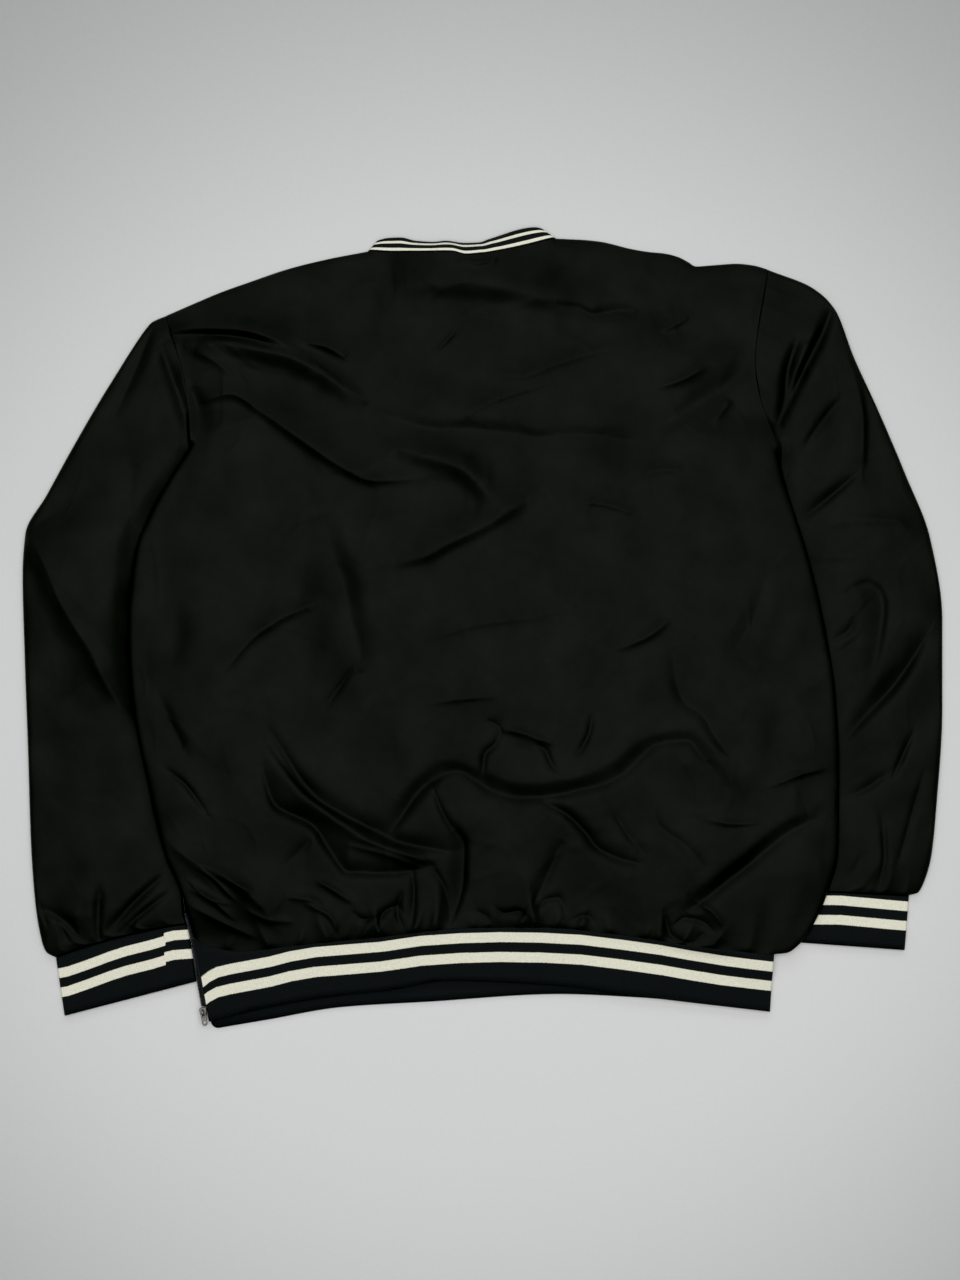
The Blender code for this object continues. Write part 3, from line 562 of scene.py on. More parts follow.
class WindshirtSizes(bpy.types.PropertyGroup):
    """Sizes of the cloth, knit, sewing and zip."""

    shell_wall: length_of("Shell", "Thickness of the nylon shell, two plies", 0.0012, 0.0004, 0.003)
    rib_wall: length_of("Rib", "Thickness of the doubled rib knit", 0.002, 0.001, 0.003)
    tape_wall: length_of("Zip tape", "Thickness of the zip's woven tape", 0.001, 0.0003, 0.0015)
    rib_pitch: length_of("Rib pitch", "Distance from one knitted rib to the next", 0.0018, 0.001, 0.004)
    rib_depth: length_of("Rib depth", "How deep the grooves between the ribs are", 0.00045, 0.0, 0.001)
    crease_share: FloatProperty(
        name="Creases", description="Share of the creases' full depth",
        default=1.0, min=0.0, max=2.0, subtype="FACTOR")
    wrinkle_rise: length_of("Fine wrinkles", "Height of the wrinkles between the creases", 0.0005, 0.0, 0.002)
    stitch_pitch: length_of("Stitch", "Distance from one stitch of a seam to the next", 0.0028, 0.0015, 0.006)
    coil_pitch: length_of("Coil pitch", "Distance from one turn to the next", 0.0013, 0.0008, 0.003)
    pull_sides: IntProperty(
        name="Pull corners", description="Points round the pull tab's rounded end",
        default=14, min=6, max=48)


class WindshirtColours(bpy.types.PropertyGroup):
    """Colours of the cloth, knit, zip and floor."""

    shell: colour_of("Shell", "Black nylon of the body and sleeves", "#171916")
    rib: colour_of("Rib", "Black yarn of the collar, cuffs and hem", "#1d1f1f")
    stripe: colour_of("Stripe", "Cream yarn of the stripes", "#f1efdc")
    tape: colour_of("Zip tape", "Black tape of the zip", "#191a1b")
    # The coil's grey is painted glint: it stands in for the sheen on the turns of black nylon
    coil: colour_of("Zip coil", "Grey nylon of the zip's coil", "#3c3f40")
    metal: colour_of("Slider", "Nickelled zinc of the slider and pull tab", "#686662")
    floor: colour_of("Floor", "Pale floor under the shirt", "#e4e4e4")


def steps_of(points):
    """Distances from each point of a path to the next."""
    return np.linalg.norm(np.diff(points, axis=0), axis=1)


def lengths_along(points):
    """Length of a path up to each of its points."""
    return np.concatenate([[0], np.cumsum(steps_of(points))])


def even_spots(path, first, end_gap, pitch):
    """Points along a dense path at even steps, with its heading at each."""
    length = lengths_along(path)
    even = np.arange(first, length[-1] - end_gap, pitch)
    spots = np.column_stack([np.interp(even, length, path[:, k]) for k in range(path.shape[1])])
    heading = np.gradient(spots, axis=0)
    return spots, heading / np.linalg.norm(heading, axis=1)[:, None]


def steady_slopes(points, knots):
    """Slopes at the points of a curve that never overshoots them."""
    step = np.diff(knots)[:, None]
    rise = np.diff(points, axis=0) / step
    before, after = rise[:-1], rise[1:]
    weigh_before = 2 * step[1:] + step[:-1]
    weigh_after = step[1:] + 2 * step[:-1]
    same = before * after > 0
    safe_before = np.where(same, before, 1.0)
    safe_after = np.where(same, after, 1.0)
    mean = (weigh_before + weigh_after) / (weigh_before / safe_before + weigh_after / safe_after)
    return np.concatenate([rise[:1], np.where(same, mean, 0.0), rise[-1:]])


def through(points, t, knots=None):
    """Points of a smooth curve through the given ones.

    t runs from 0 to 1 along its chords, or as the knots say.
    """
    points = np.asarray(points, float)
    if knots is None:
        steps = steps_of(points)
        knots = np.concatenate([[0.0], np.cumsum(steps)]) / steps.sum()
    slopes = steady_slopes(points, knots)
    t = np.asarray(t, float)
    i = np.clip(np.searchsorted(knots, t, side="right") - 1, 0, len(points) - 2)
    span = (knots[i + 1] - knots[i])[..., None]
    f = (t - knots[i])[..., None] / span
    return (
        (1 + 2 * f) * (1 - f) ** 2 * points[i]
        + f * (1 - f) ** 2 * span * slopes[i]
        + f**2 * (3 - 2 * f) * points[i + 1]
        - f**2 * (1 - f) * span * slopes[i + 1]
    )


def joined(stretches, breaks, t):
    """Points of a boundary made of several curves, each between two breaks of t."""
    result = np.zeros((*t.shape, 2))
    for curve, low, high in zip(stretches, breaks[:-1], breaks[1:]):
        inside = (t >= low - 1e-9) & (t <= high + 1e-9)
        result[inside] = through(curve, np.clip((t[inside] - low) / (high - low), 0, 1))
    return result


def swelling(distance):
    """Share of a panel's full swell at a distance from its edge: it rises fast at first and then slowly."""
    first = EDGE_SHARE * (1 - np.exp(-distance / EDGE_ROLL))
    return first + (1 - EDGE_SHARE) * (1 - np.exp(-distance / EDGE_SPREAD))


def smooth(t):
    t = np.clip(t, 0.0, 1.0)
    return t * t * (3 - 2 * t)


def dense(curve, steps=80):
    return through(curve, np.linspace(0, 1, steps))


def distance_to(path, x, y):
    """Distance in the plan to a dense path, with the index of its nearest point."""
    gap = (x[..., None] - path[:, 0]) ** 2 + (y[..., None] - path[:, 1]) ** 2
    nearest = np.argmin(gap, axis=-1)
    offset = np.stack([x, y], axis=-1) - path[nearest]
    away = np.linalg.norm(offset, axis=-1)
    for step in (-1, 1):
        run = path[np.clip(nearest + step, 0, len(path) - 1)] - path[nearest]
        along = np.clip((offset * run).sum(-1) / np.maximum((run * run).sum(-1), 1e-9), 0, 1)
        away = np.minimum(away, np.linalg.norm(offset - along[..., None] * run, axis=-1))
    return away, nearest


def at_height(curve, y):
    """The x at which a side's curve, which rises steadily, has the height y."""
    path = dense(curve, 200)
    order = np.argsort(path[:, 1])
    return np.interp(y, path[order, 1], path[order, 0])


def hidden_edge(side, y):
    """The x of the sleeve's inner edge, which lies under the body."""
    points = [(s.inner_x, s.inner_y) for s in side.sections] + [side.cuff_inner]
    points.sort(key=lambda p: p[1])
    return np.interp(y, [p[1] for p in points], [p[0] for p in points])


def lift(x, y, slope=LIFT_RAMP):
    """Height of the body's underside: the floor, or the sleeve margins that it lies on."""
    total = np.zeros_like(x)
    for side in SIDES:
        inward = -side.out * (x - hidden_edge(side, y))
        ramp = 1 - smooth((inward - LIFT_FLAT) / slope)
        span = side.lift
        fade = smooth((span.top_none - y) / (span.top_none - span.top_full))
        fade *= smooth((y - span.low_none) / (span.low_full - span.low_none))
        total += FRONT_LIFT * ramp * fade
    return total


def crease_line(crease, x, y, reach):
    """Dense points of a crease's path, and which points of the plan come within its reach."""
    length = steps_of(crease.path).sum()
    path = dense(crease.path, max(int(length / CREASE_STEP), 8))
    near = (x > path[:, 0].min() - reach) & (x < path[:, 0].max() + reach)
    near &= (y > path[:, 1].min() - reach) & (y < path[:, 1].max() + reach)
    return path, near


def crease_relief(creases, x, y):
    """Height of the creases at points in the plan."""
    total = np.zeros_like(x)
    for crease in creases:
        path, near = crease_line(crease, x, y, CREASE_REACH * max(crease.left, crease.right))
        steps = len(path)
        px, py = x[near], y[near]
        away, nearest = distance_to(path, px, py)
        heading = np.gradient(path, axis=0)[nearest]
        hand = heading[:, 0] * (py - path[nearest, 1]) - heading[:, 1] * (px - path[nearest, 0])
        width = np.where(hand > 0, crease.left, crease.right)
        taper = np.sin(np.pi * np.clip(np.linspace(0, 1, steps), 0.02, 0.98)) ** CREASE_TAPER
        total[near] += crease.rise * taper[nearest] * np.exp(-((away / width) ** crease.crisp))
    return total


def crease_distance(creases, x, y, reach):
    """Distance to the nearest crease, or twice the reach where none is near."""
    nearest = np.full_like(x, 2 * reach)
    for crease in creases:
        path, near = crease_line(crease, x, y, reach)
        nearest[near] = np.minimum(nearest[near], distance_to(path, x[near], y[near])[0])
    return nearest


def swells(x, y, size, seed):
    """Uneven soft relief, about -1 to 1, whose bumps are about the given size."""
    draw = np.random.default_rng(seed)
    total = np.zeros_like(x)
    for _ in range(SWELL_WAVES):
        turn, phase = draw.uniform(0, 2 * np.pi, 2)
        length = size * draw.uniform(0.8, 1.9)
        total += np.sin(2 * np.pi * (x * np.cos(turn) + y * np.sin(turn)) / length + phase)
    return total / SWELL_WAVES**0.5


def uneven(x, y, layers):
    """Sum of soft swells, each given by its rise, size and seed."""
    return sum(rise * swells(x, y, size, seed) for rise, size, seed in layers)


def wrinkles(x, y, seed):
    """Thin soft lines, 0 to 1, that wander over the cloth as pressed-in wrinkles do."""
    total = np.zeros_like(x)
    for layer in range(WRINKLE_LAYERS):
        patch = smooth(0.35 + 0.8 * swells(x, y, WRINKLE_PATCH, seed + 10 * layer + 2))
        line = np.abs(swells(x, y, WRINKLE_SIZE, seed + 10 * layer) / WRINKLE_WIDTH)
        total += patch * np.exp(-line**1.4)
    return total


def resting(relief, deep):
    """The relief with its troughs kept from sinking further than a depth."""
    return np.where(relief < 0, deep * (np.exp(np.minimum(relief, 0) / deep) - 1), relief)


def puckers_at(puckers, along, away):
    """Height of the gathers at a place along a seam and a distance from it."""
    total = np.zeros_like(along)
    for pucker in puckers:
        off = along - pucker.place - pucker.lean * away
        run = (1 - np.exp(-away / GATHER_START)) * np.exp(-(away / pucker.reach) ** 1.5)
        total += GATHER_RISE * pucker.rise * run * np.exp(-np.abs(off / pucker.width) ** 1.3)
    return total


def back_height(x, y, sizes):
    """Height of the back's outer face over the floor."""
    edges = (SIDE_LEFT, SIDE_RIGHT, SHOULDER_LEFT, SHOULDER_RIGHT)
    from_edge = np.min([distance_to(dense(c), x, y)[0] for c in edges], axis=0)
    from_hem = distance_to(dense(HEM_BACK, 160), x, y)[0]
    swell = BACK_SWELL * swelling(from_edge)
    swell *= 1 - (1 - HEM_SHARE) * np.exp(-from_hem / HEM_ROLL)
    neck = through(NECK_BACK, np.array([0.5]))[0]
    swell += NECK_SWELL * np.exp(-((x - neck[0]) ** 2 + (y - neck[1]) ** 2) / NECK_SPREAD**2)
    inner = 1 - np.exp(-from_edge / EDGE_HOLD)
    hem_hold = 1 - np.exp(-from_hem / HEM_HOLD)
    relief = sizes.crease_share * crease_relief(BACK_CREASES, x, y)
    relief += uneven(x, y, BACK_SWELLS)
    relief += sizes.wrinkle_rise / MM * wrinkles(x, y, BACK_WRINKLES)
    relief = inner * (relief * hem_hold + puckers_at(HEM_PUCKERS, x, from_hem))
    relief = resting(relief, np.maximum(swell, 0.05))
    raised = lift(x, y, BACK_RAMP) / FRONT_LIFT
    ease = 4 * LIFT_EASE * raised * (1 - raised)
    return raised * FRONT_LIFT + 2 * sizes.shell_wall / MM + SEAM_GAP + ease + swell + relief


def body_grid(fineness):
    """Columns and rows of a body panel at a fineness, as grids."""
    columns = np.linspace(0, BODY_COLUMNS, BODY_COLUMNS * fineness + 1)
    return np.meshgrid(columns, np.linspace(0, BODY_ROWS, BODY_ROWS * fineness + 1))


def body_plan(column, row, hem, neck):
    """Plan of a body panel, spanned between its hem, sides, shoulders and neck."""
    u = column / BODY_COLUMNS
    u = u - COLUMN_CROWDING * np.sin(2 * np.pi * u) / (2 * np.pi)
    v = row / BODY_ROWS
    ends = np.array(NECK_COLUMNS, float) / BODY_COLUMNS
    ends = ends - COLUMN_CROWDING * np.sin(2 * np.pi * ends) / (2 * np.pi)
    armpit = ARMPIT_ROW / BODY_ROWS
    left = joined([SIDE_LEFT, ARMHOLE_LEFT], [0, armpit, 1], v)
    right = joined([SIDE_RIGHT, ARMHOLE_RIGHT], [0, armpit, 1], v)
    top = joined([SHOULDER_LEFT, neck, SHOULDER_RIGHT], [0, ends[0], ends[1], 1], u)
    bottom = through(hem, u)
    u = u[..., None]
    v = v[..., None]
    corners = np.array([hem[0], hem[-1], SHOULDER_LEFT[0], SHOULDER_RIGHT[-1]], float)
    flat = (1 - u) * (1 - v) * corners[0] + u * (1 - v) * corners[1]
    flat += (1 - u) * v * corners[2] + u * v * corners[3]
    return (1 - v) * bottom + v * top + (1 - u) * left + u * right - flat


def lay_cloth(name, points, wrap=False, face_up=True, maps=None):
    """A mesh of a grid of points in millimetres, with maps in UV layers; its first columns are on top."""
    rows, columns = points.shape[:2]
    index = np.arange(rows * columns).reshape(rows, columns)
    if wrap:
        index = np.concatenate([index, index[:, :1]], axis=1)
    spread = np.arange(index.size).reshape(index.shape)
    faces, corners = (
        np.stack([g[:-1, :-1], g[:-1, 1:], g[1:, 1:], g[1:, :-1]], axis=-1).reshape(-1, 4)
        for g in (index, spread)
    )
    across = np.arange(len(faces)) % (index.shape[1] - 1)
    flat = points.reshape(-1, 3)
    first = faces[across < columns // 4]
    normal = np.cross(flat[first[:, 1]] - flat[first[:, 0]], flat[first[:, 3]] - flat[first[:, 0]])
    if (normal[:, 2].sum() > 0) != face_up:
        faces, corners = faces[:, ::-1], corners[:, ::-1]
    mesh = bpy.data.meshes.new(name)
    mesh.from_pydata((flat * MM).tolist(), [], faces.tolist())
    for layer_name, grid in (maps or {}).items():
        layer = mesh.uv_layers.new(name=layer_name)
        layer.data.foreach_set("uv", grid.reshape(-1, 2)[corners].astype(np.float32).ravel())
    mesh.shade_smooth()
    return mesh


def back_cloth(sizes):
    """The back's cloth as one mesh: an outer wall, finer near the creases, and a plainer inner wall."""
    plan = body_plan(*body_grid(BODY_FINENESS), HEM_BACK, NECK_BACK)
    mesh = lay_cloth("back_shell", np.dstack([plan, np.zeros(plan.shape[:2])]))
    bm = bmesh.new()
    bm.from_mesh(mesh)
    edges = [e for e in bm.edges if not e.is_boundary]
    middles = np.array([e.verts[0].co + e.verts[1].co for e in edges]) / 2 / MM
    near = crease_distance(BACK_CREASES, middles[:, 0], middles[:, 1], CREASE_FINE) < CREASE_FINE
    bmesh.ops.subdivide_edges(bm, edges=[e for e, n in zip(edges, near) if n], cuts=1, use_grid_fill=True)
    spots = np.array([v.co for v in bm.verts])[:, :2]
    for vert, z in zip(bm.verts, back_height(spots[:, 0] / MM, spots[:, 1] / MM, sizes)):
        vert.co.z = z * MM
    # The inner wall keeps clear of the bottom of each trough
    plan = body_plan(*body_grid(INNER_FINENESS), HEM_BACK, NECK_BACK)
    around = [(0, 0), (INNER_CLEAR, 0), (-INNER_CLEAR, 0), (0, INNER_CLEAR), (0, -INNER_CLEAR)]
    low = np.min([back_height(plan[..., 0] + dx, plan[..., 1] + dy, sizes) for dx, dy in around], axis=0)
    inner = lay_cloth("back_inner", np.dstack([plan, low - sizes.shell_wall / MM]), face_up=False)
    bm.from_mesh(inner)
    rim = [e for e in bm.edges if e.is_boundary]
    bmesh.ops.bridge_loops(bm, edges=rim)
    for face in bm.faces:
        face.smooth = True
    for edge in rim:
        edge.smooth = False
    bm.to_mesh(mesh)
    bm.free()
    bpy.data.meshes.remove(inner)
    corners = np.array([mesh.vertices[k.vertex_index].co[:2] for k in mesh.loops])
    mesh.uv_layers.new(name="Cloth").data.foreach_set("uv", corners.astype(np.float32).ravel())
    return mesh


def place_piece(name, mesh, finish, body="garment", wall=0.0, nodes=()):
    """Puts a mesh into the scene as a piece that rides on a body; a wall grows inwards from its face."""
    piece = bpy.data.objects.new(name, mesh)
    bpy.context.scene.collection.objects.link(piece)
    mesh.materials.append(finish)
    if wall:
        solidify = piece.modifiers.new("Wall", "SOLIDIFY")
        solidify.thickness = wall
        solidify.offset = -1.0
    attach(piece, body)
    if nodes:
        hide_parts(*nodes)
    return piece


def fold_tube(upper, lower, closed=True):
    """Joins the upper and the lower wall of a tube that lies flat; an open one's meet at one end only."""
    back = lower[:, ::-1]
    return np.concatenate([upper, back[:, 1:-1] if closed else back[:, 1:]], axis=1)


def rounded(distance):
    """0 at a folded edge to 1 inside it, as a quarter circle."""
    share = np.clip(distance / FOLD_ROUND, 0, 1)
    return np.sqrt(1 - (1 - share) ** 2)


def sleeve_rows(side, count):
    """Places along a sleeve, in sections, at even steps of its length, with the lengths."""
    fine = np.linspace(0, len(side.sections) - 1, 600)
    table = np.array(side.sections, float)
    middle = through((table[:, 0:2] + table[:, 2:4]) / 2, fine, np.arange(len(table), dtype=float))
    length = lengths_along(middle)
    even = np.linspace(0, length[-1], count)
    return np.interp(even, length, fine), even


def cuff_bow(side, share):
    """How far a cuff's seam bows up into its sleeve at shares across it."""
    seam = np.array(side.sections[-1], float)
    up = seam[0:2] + seam[2:4] - np.array(side.cuff_outer) - np.array(side.cuff_inner)
    return side.bow * (np.sin(np.pi * share) ** 0.7)[..., None] * up / np.linalg.norm(up)


def sleeve_walls(side, sizes):
    """Upper and lower wall of a sleeve as grids of points, with a map of its cloth."""
    rows, lengths = sleeve_rows(side, SLEEVE_ALONG)
    t = np.linspace(0, 1, SLEEVE_ACROSS)
    share = 0.5 - 0.5 * np.sign(np.cos(np.pi * t)) * np.abs(np.cos(np.pi * t)) ** SLEEVE_CROWDING
    share, row = np.meshgrid(share, rows)
    length = np.repeat(lengths[:, None], SLEEVE_ACROSS, axis=1)
    knots = np.arange(len(side.sections), dtype=float)
    table = np.array(side.sections, float)
    outer = through(table[:, 0:2], row, knots)
    inner = through(table[:, 2:4], row, knots)
    crown = SLEEVE_CROWN * np.interp(row, knots, table[:, 4])
    s = share[..., None]
    armhole = through(side.armhole[::-1], share)
    chord = (1 - s) * np.array(side.armhole[-1], float) + s * np.array(side.armhole[0], float)
    plan = (1 - s) * outer + s * inner + (1 - smooth(row / ARMHOLE_SECTIONS))[..., None] * (armhole - chord)
    plan[..., 0] += side.out * ARMHOLE_GAP * np.clip(1 - row, 0, 1)
    plan += smooth((row - knots[-1] + CUFF_SECTIONS) / CUFF_SECTIONS)[..., None] * cuff_bow(side, share)
    x, y = plan[..., 0], plan[..., 1]
    width = np.linalg.norm(inner - outer, axis=-1)
    from_fold = np.minimum(share, 1 - share) * width
    swell = crown * swelling(share * width) * swelling((1 - share) * width)
    outside = side.out * (x - at_height(side.body_side, y))
    freed = 1 - np.exp(-np.maximum(outside - PRESS_MARGIN, 0) / side.press)
    pressed = smooth((side.armhole[0][1] + PRESS_START - y) / PRESS_FADE) * (1 - freed)
    from_cuff = lengths[-1] - length
    from_armhole = distance_to(dense(side.armhole, 120), x, y)[0]
    held = (1 - np.exp(-from_cuff / CUFF_HOLD)) * (1 - np.exp(-share * width / EDGE_HOLD))
    held *= 1 - np.exp(-from_armhole / ARMHOLE_HOLD)
    relief = sizes.crease_share * crease_relief(side.creases, x, y)
    relief += uneven(x, y, SLEEVE_SWELLS)
    relief += SLEEVE_WRINKLE_SHARE * sizes.wrinkle_rise / MM * wrinkles(x, y, SLEEVE_WRINKLES)
    gathers = [p._replace(place=p.place * width[-1, 0]) for p in CUFF_PUCKERS]
    relief = resting(held * relief + puckers_at(gathers, share * width, from_cuff), swell + SLEEVE_DEEP)
    sewn_top = back_height(armhole[:1, :, 0], armhole[:1, :, 1], sizes)
    join = smooth(row / JOIN_SECTIONS)
    top = (1 - join) * sewn_top + join * (SLEEVE_PRESSED + swell * (1 - pressed))
    top += relief * np.clip(from_fold / FOLD_HOLD, 0, 1) * (1 - pressed)
    round_share = rounded(from_fold)
    upper = np.dstack([plan, top * (0.5 + 0.5 * round_share)])
    lower = np.dstack([plan, top * 0.5 * (1 - round_share)])[:, ::SLEEVE_UNDER]
    cloth = np.dstack([share * width, length]) * MM
    return upper, lower, cloth


def rib_columns(length, sizes):
    """Shares along a rib strip of a length at its columns, with the height of its knitted ribs there."""
    count = max(int(length / (sizes.rib_pitch / MM)), 8)
    share = np.linspace(0, 1, count * RIB_STEPS + 1)
    return share, sizes.rib_depth / MM * (np.cos(2 * np.pi * share * count) - 1) / 2


def stripe_marks(seam, edge, line, step, width):
    """Shares down a rib's columns at which its two pale stripes begin and end, from the first one's line."""
    fall = seam[:, 1] - edge[:, 1]
    table = np.array(line, float)
    marks = [np.zeros_like(fall)]
    for drop in (0.0, step):
        share = np.full_like(fall, 0.4)
        for _ in range(5):
            x = seam[:, 0] + share * (edge[:, 0] - seam[:, 0])
            share = (seam[:, 1] + drop - np.interp(x, table[:, 0], table[:, 1])) / fall
        marks += [share, share + width / fall]
    marks.append(np.ones_like(fall))
    return np.maximum.accumulate(np.clip(marks, 0, 1), axis=0)


def rib_rows(marks):
    """Shares down a rib's columns at its rows, with their places in the knit."""
    steps = np.arange(RIB_ROWS * (len(marks) - 1) + 1) / RIB_ROWS
    above = np.minimum(steps.astype(int), len(marks) - 2)
    share = (steps - above)[:, None]
    stops = np.array([0, *RIB_STRIPES, 1])[:, None]
    down, place = ((1 - share) * m[above] + share * m[above + 1] for m in (marks, stops))
    return down, np.broadcast_to(place, down.shape)


def rib_maps(along, down_length, place):
    """The two maps of a rib strip: its length and height in metres, and the place across its stripes."""
    along = np.broadcast_to(along * MM, place.shape)
    return np.dstack([along, down_length * MM]), np.dstack([along, place])


def cuff_walls(side, sizes):
    """Upper and lower wall of a cuff with their maps."""
    seam = side.sections[-1]
    across = math.dist(seam[0:2], seam[2:4])
    share, groove = rib_columns(across, sizes)
    s = share[:, None]
    top = (1 - s) * np.array(seam[0:2], float) + s * np.array(seam[2:4], float) + cuff_bow(side, share)
    edge = (1 - s) * np.array(side.cuff_outer, float) + s * np.array(side.cuff_inner, float)
    fall = np.linalg.norm(edge - top, axis=1)
    v, place = rib_rows(stripe_marks(top, edge, side.stripe, CUFF_STRIPE_STEP, CUFF_STRIPE_WIDTH))
    w = v[..., None]
    plan = (1 - w) * (top + SEAM_GAP * (edge - top) / fall[:, None]) + w * edge
    height = 2 * sizes.rib_wall / MM + RIB_HOLLOW
    height = height + uneven(plan[..., 0], plan[..., 1], CUFF_SWELLS) * np.sin(np.pi * v)
    round_share = rounded(np.minimum(share, 1 - share) * across)
    roll = 1 - BAND_EDGE_THIN * np.clip(1 - 8 * (1 - v), 0, 1)
    upper = np.dstack([plan, height * roll * (0.5 + 0.5 * round_share) + groove])
    lower = np.dstack([plan, height * 0.5 * (1 - round_share) - groove * (round_share < 1)])
    lower[..., 2] = np.maximum(lower[..., 2], 0)
    return upper, lower, *rib_maps(share * across, fall * v, place)


def band_walls(sizes):
    """Back and front wall of the hem band, with their maps; they meet at the fold at the right."""
    walls = []
    for hem, free, high in ((HEM_BACK, BAND_EDGE_BACK, True), (HEM_FRONT, BAND_EDGE_FRONT, False)):
        length = steps_of(dense(hem, 200)).sum()
        share, groove = rib_columns(length, sizes)
        seam, edge = through(hem, share), through(free, share)
        fall = np.linalg.norm(edge - seam, axis=1)
        if not high:
            # The front's end has a round corner
            short = 1 - np.minimum(share * length / BAND_CORNER, 1)
            edge -= (BAND_CORNER * (1 - np.sqrt(1 - short**2)) / fall)[:, None] * (edge - seam)
            fall = np.linalg.norm(edge - seam, axis=1)
        if high:
            marks = stripe_marks(seam, edge, HEM_STRIPE, HEM_STRIPE_STEP, HEM_STRIPE_WIDTH)
        else:
            marks = np.repeat([[m] for m in (0, *FRONT_STRIPES, 1)], len(share), axis=1)
        v, place = rib_rows(marks)
        w = v[..., None]
        plan = (1 - w) * (seam + BAND_GAP * (edge - seam) / fall[:, None]) + w * edge
        x, y = plan[..., 0], plan[..., 1]
        thick = 2 * sizes.rib_wall / MM + BAND_HOLLOW + BAND_SWELL * np.sin(np.pi * share)
        thick = thick + uneven(x, y, BAND_SWELLS) * np.sin(np.pi * v) * np.sin(np.pi * share)
        round_share = rounded((1 - share) * length)
        z = thick * (0.5 + 0.5 * round_share) + groove if high else thick * 0.5 * (1 - round_share)
        z = z + lift(x, y)
        if high:
            sewn = back_height(seam[:, 0], seam[:, 1], sizes)
            z += (np.maximum(sewn, z[0]) - z[0]) * (1 - smooth(v * fall / BAND_JOIN)) * round_share
        walls.append((np.dstack([plan, z]), *rib_maps(share * length, fall * v, place)))
    return walls


def collar_walls(sizes):
    """Back and front wall of the collar ring with their maps."""
    walls = []
    for neck, free, high in ((NECK_BACK, COLLAR_EDGE_BACK, 1), (NECK_FRONT, COLLAR_EDGE_FRONT, 0)):
        length = steps_of(dense(neck, 200)).sum()
        share, groove = rib_columns(length, sizes)
        seam, edge = through(neck, share), through(free, share)
        fall = np.linalg.norm(edge - seam, axis=1)
        wider = COLLAR_END_GAP * np.abs(2 * share - 1) ** 8 + COLLAR_FRONT_GAP * (1 - high)
        gap = SEAM_GAP * (COLLAR_GAP + wider)
        v, place = rib_rows(np.repeat([[m] for m in (0, *COLLAR_STRIPES, 1)], len(share), axis=1))
        w = v[..., None]
        plan = (1 - w) * (seam + (gap / fall)[:, None] * (edge - seam)) + w * edge
        sewn = np.maximum(back_height(seam[:, 0], seam[:, 1], sizes), COLLAR_EDGE)
        top = sewn + (COLLAR_EDGE - sewn) * v**COLLAR_FALL
        round_share = rounded(np.minimum(share, 1 - share) * length)
        z = top * (0.5 + 0.5 * round_share) + groove if high else top * 0.5 * (1 - round_share)
        walls.append((np.dstack([plan, z]), *rib_maps(share * length, fall * v, place)))
    return walls


def even_columns(wall, count):
    """The same wall with another number of columns, so that both walls of a ring can be joined."""
    place = np.linspace(0, wall.shape[1] - 1, count)
    low = np.clip(place.astype(int), 0, wall.shape[1] - 2)
    share = (place - low)[None, :, None]
    return wall[:, low] * (1 - share) + wall[:, low + 1] * share


def band_end(y):
    """The x of the body's or hem band's left end at a height."""
    end = [BAND_EDGE_BACK[0], HEM_BACK[0]]
    low = np.interp(y, [p[1] for p in end], [p[0] for p in end])
    return np.where(y > HEM_BACK[0][1], at_height(SIDE_LEFT, y), low)


def tape_points(q, v, fill=0.0):
    """Points of the zip tape's section, half an ellipse that stands out of the hem's left end.

    Where fill is 1, the tape's edge spreads as far as the sleeve and the cuff beside it.
    """
    y = ZIP_TOP_Y + (ZIP_END_Y - ZIP_TOP_Y) * v
    low = lift(band_end(y), y) + TAPE_CLEAR
    root = band_end(y) - 2 * SEAM_GAP
    beside = np.maximum(root - hidden_edge(SIDES[0], y) - 2 * SEAM_GAP, 0.1)
    share = fill * smooth((q - ZIP_SPLIT) / TAPE_SPREAD)
    share *= smooth((y - SIDES[0].cuff_inner[1]) / TAPE_CUFF_FADE + 1)
    share = np.where(y > ZIP_TOP_Y, fill, share)
    flat, rising = TAPE_FLAT
    bulge = ZIP_BULGE * (0.5 + 0.5 * smooth((v - flat) / rising))
    bulge = bulge + (beside - bulge) * share
    x = root - bulge * np.sin(np.pi * q) ** TAPE_ROUND
    low = low - fill * (low - TAPE_CLEAR) * smooth((q - 0.5) / 0.4)
    return np.stack([x, y, low + TAPE_HEIGHT * (1 + np.cos(np.pi * q)) / 2], axis=-1)


def chain_line():
    """Points along the middle of the zip's closed chain."""
    v = np.linspace(0, 1, ZIP_STATIONS + 1)
    line = tape_points(np.full_like(v, ZIP_SPLIT), v)
    line[:, 0] -= SEAM_GAP
    line[:, 2] += CHAIN_RADIUS + SEAM_GAP
    return line


def slider_place():
    """Frame of the slider at the chain's lower end: X runs along the chain, Z = 0 is its upper face."""
    line = chain_line()
    heading = math.atan2(line[-1][1] - line[-2][1], line[-1][0] - line[-2][0])
    reach = SLIDER_LENGTH / 2 + 3 * SEAM_GAP
    ahead = (reach * math.cos(heading), reach * math.sin(heading), SLIDER_RISE)
    return Matrix.Translation(Vector(line[-1] + ahead) * MM) @ Matrix.Rotation(heading, 4, "Z")


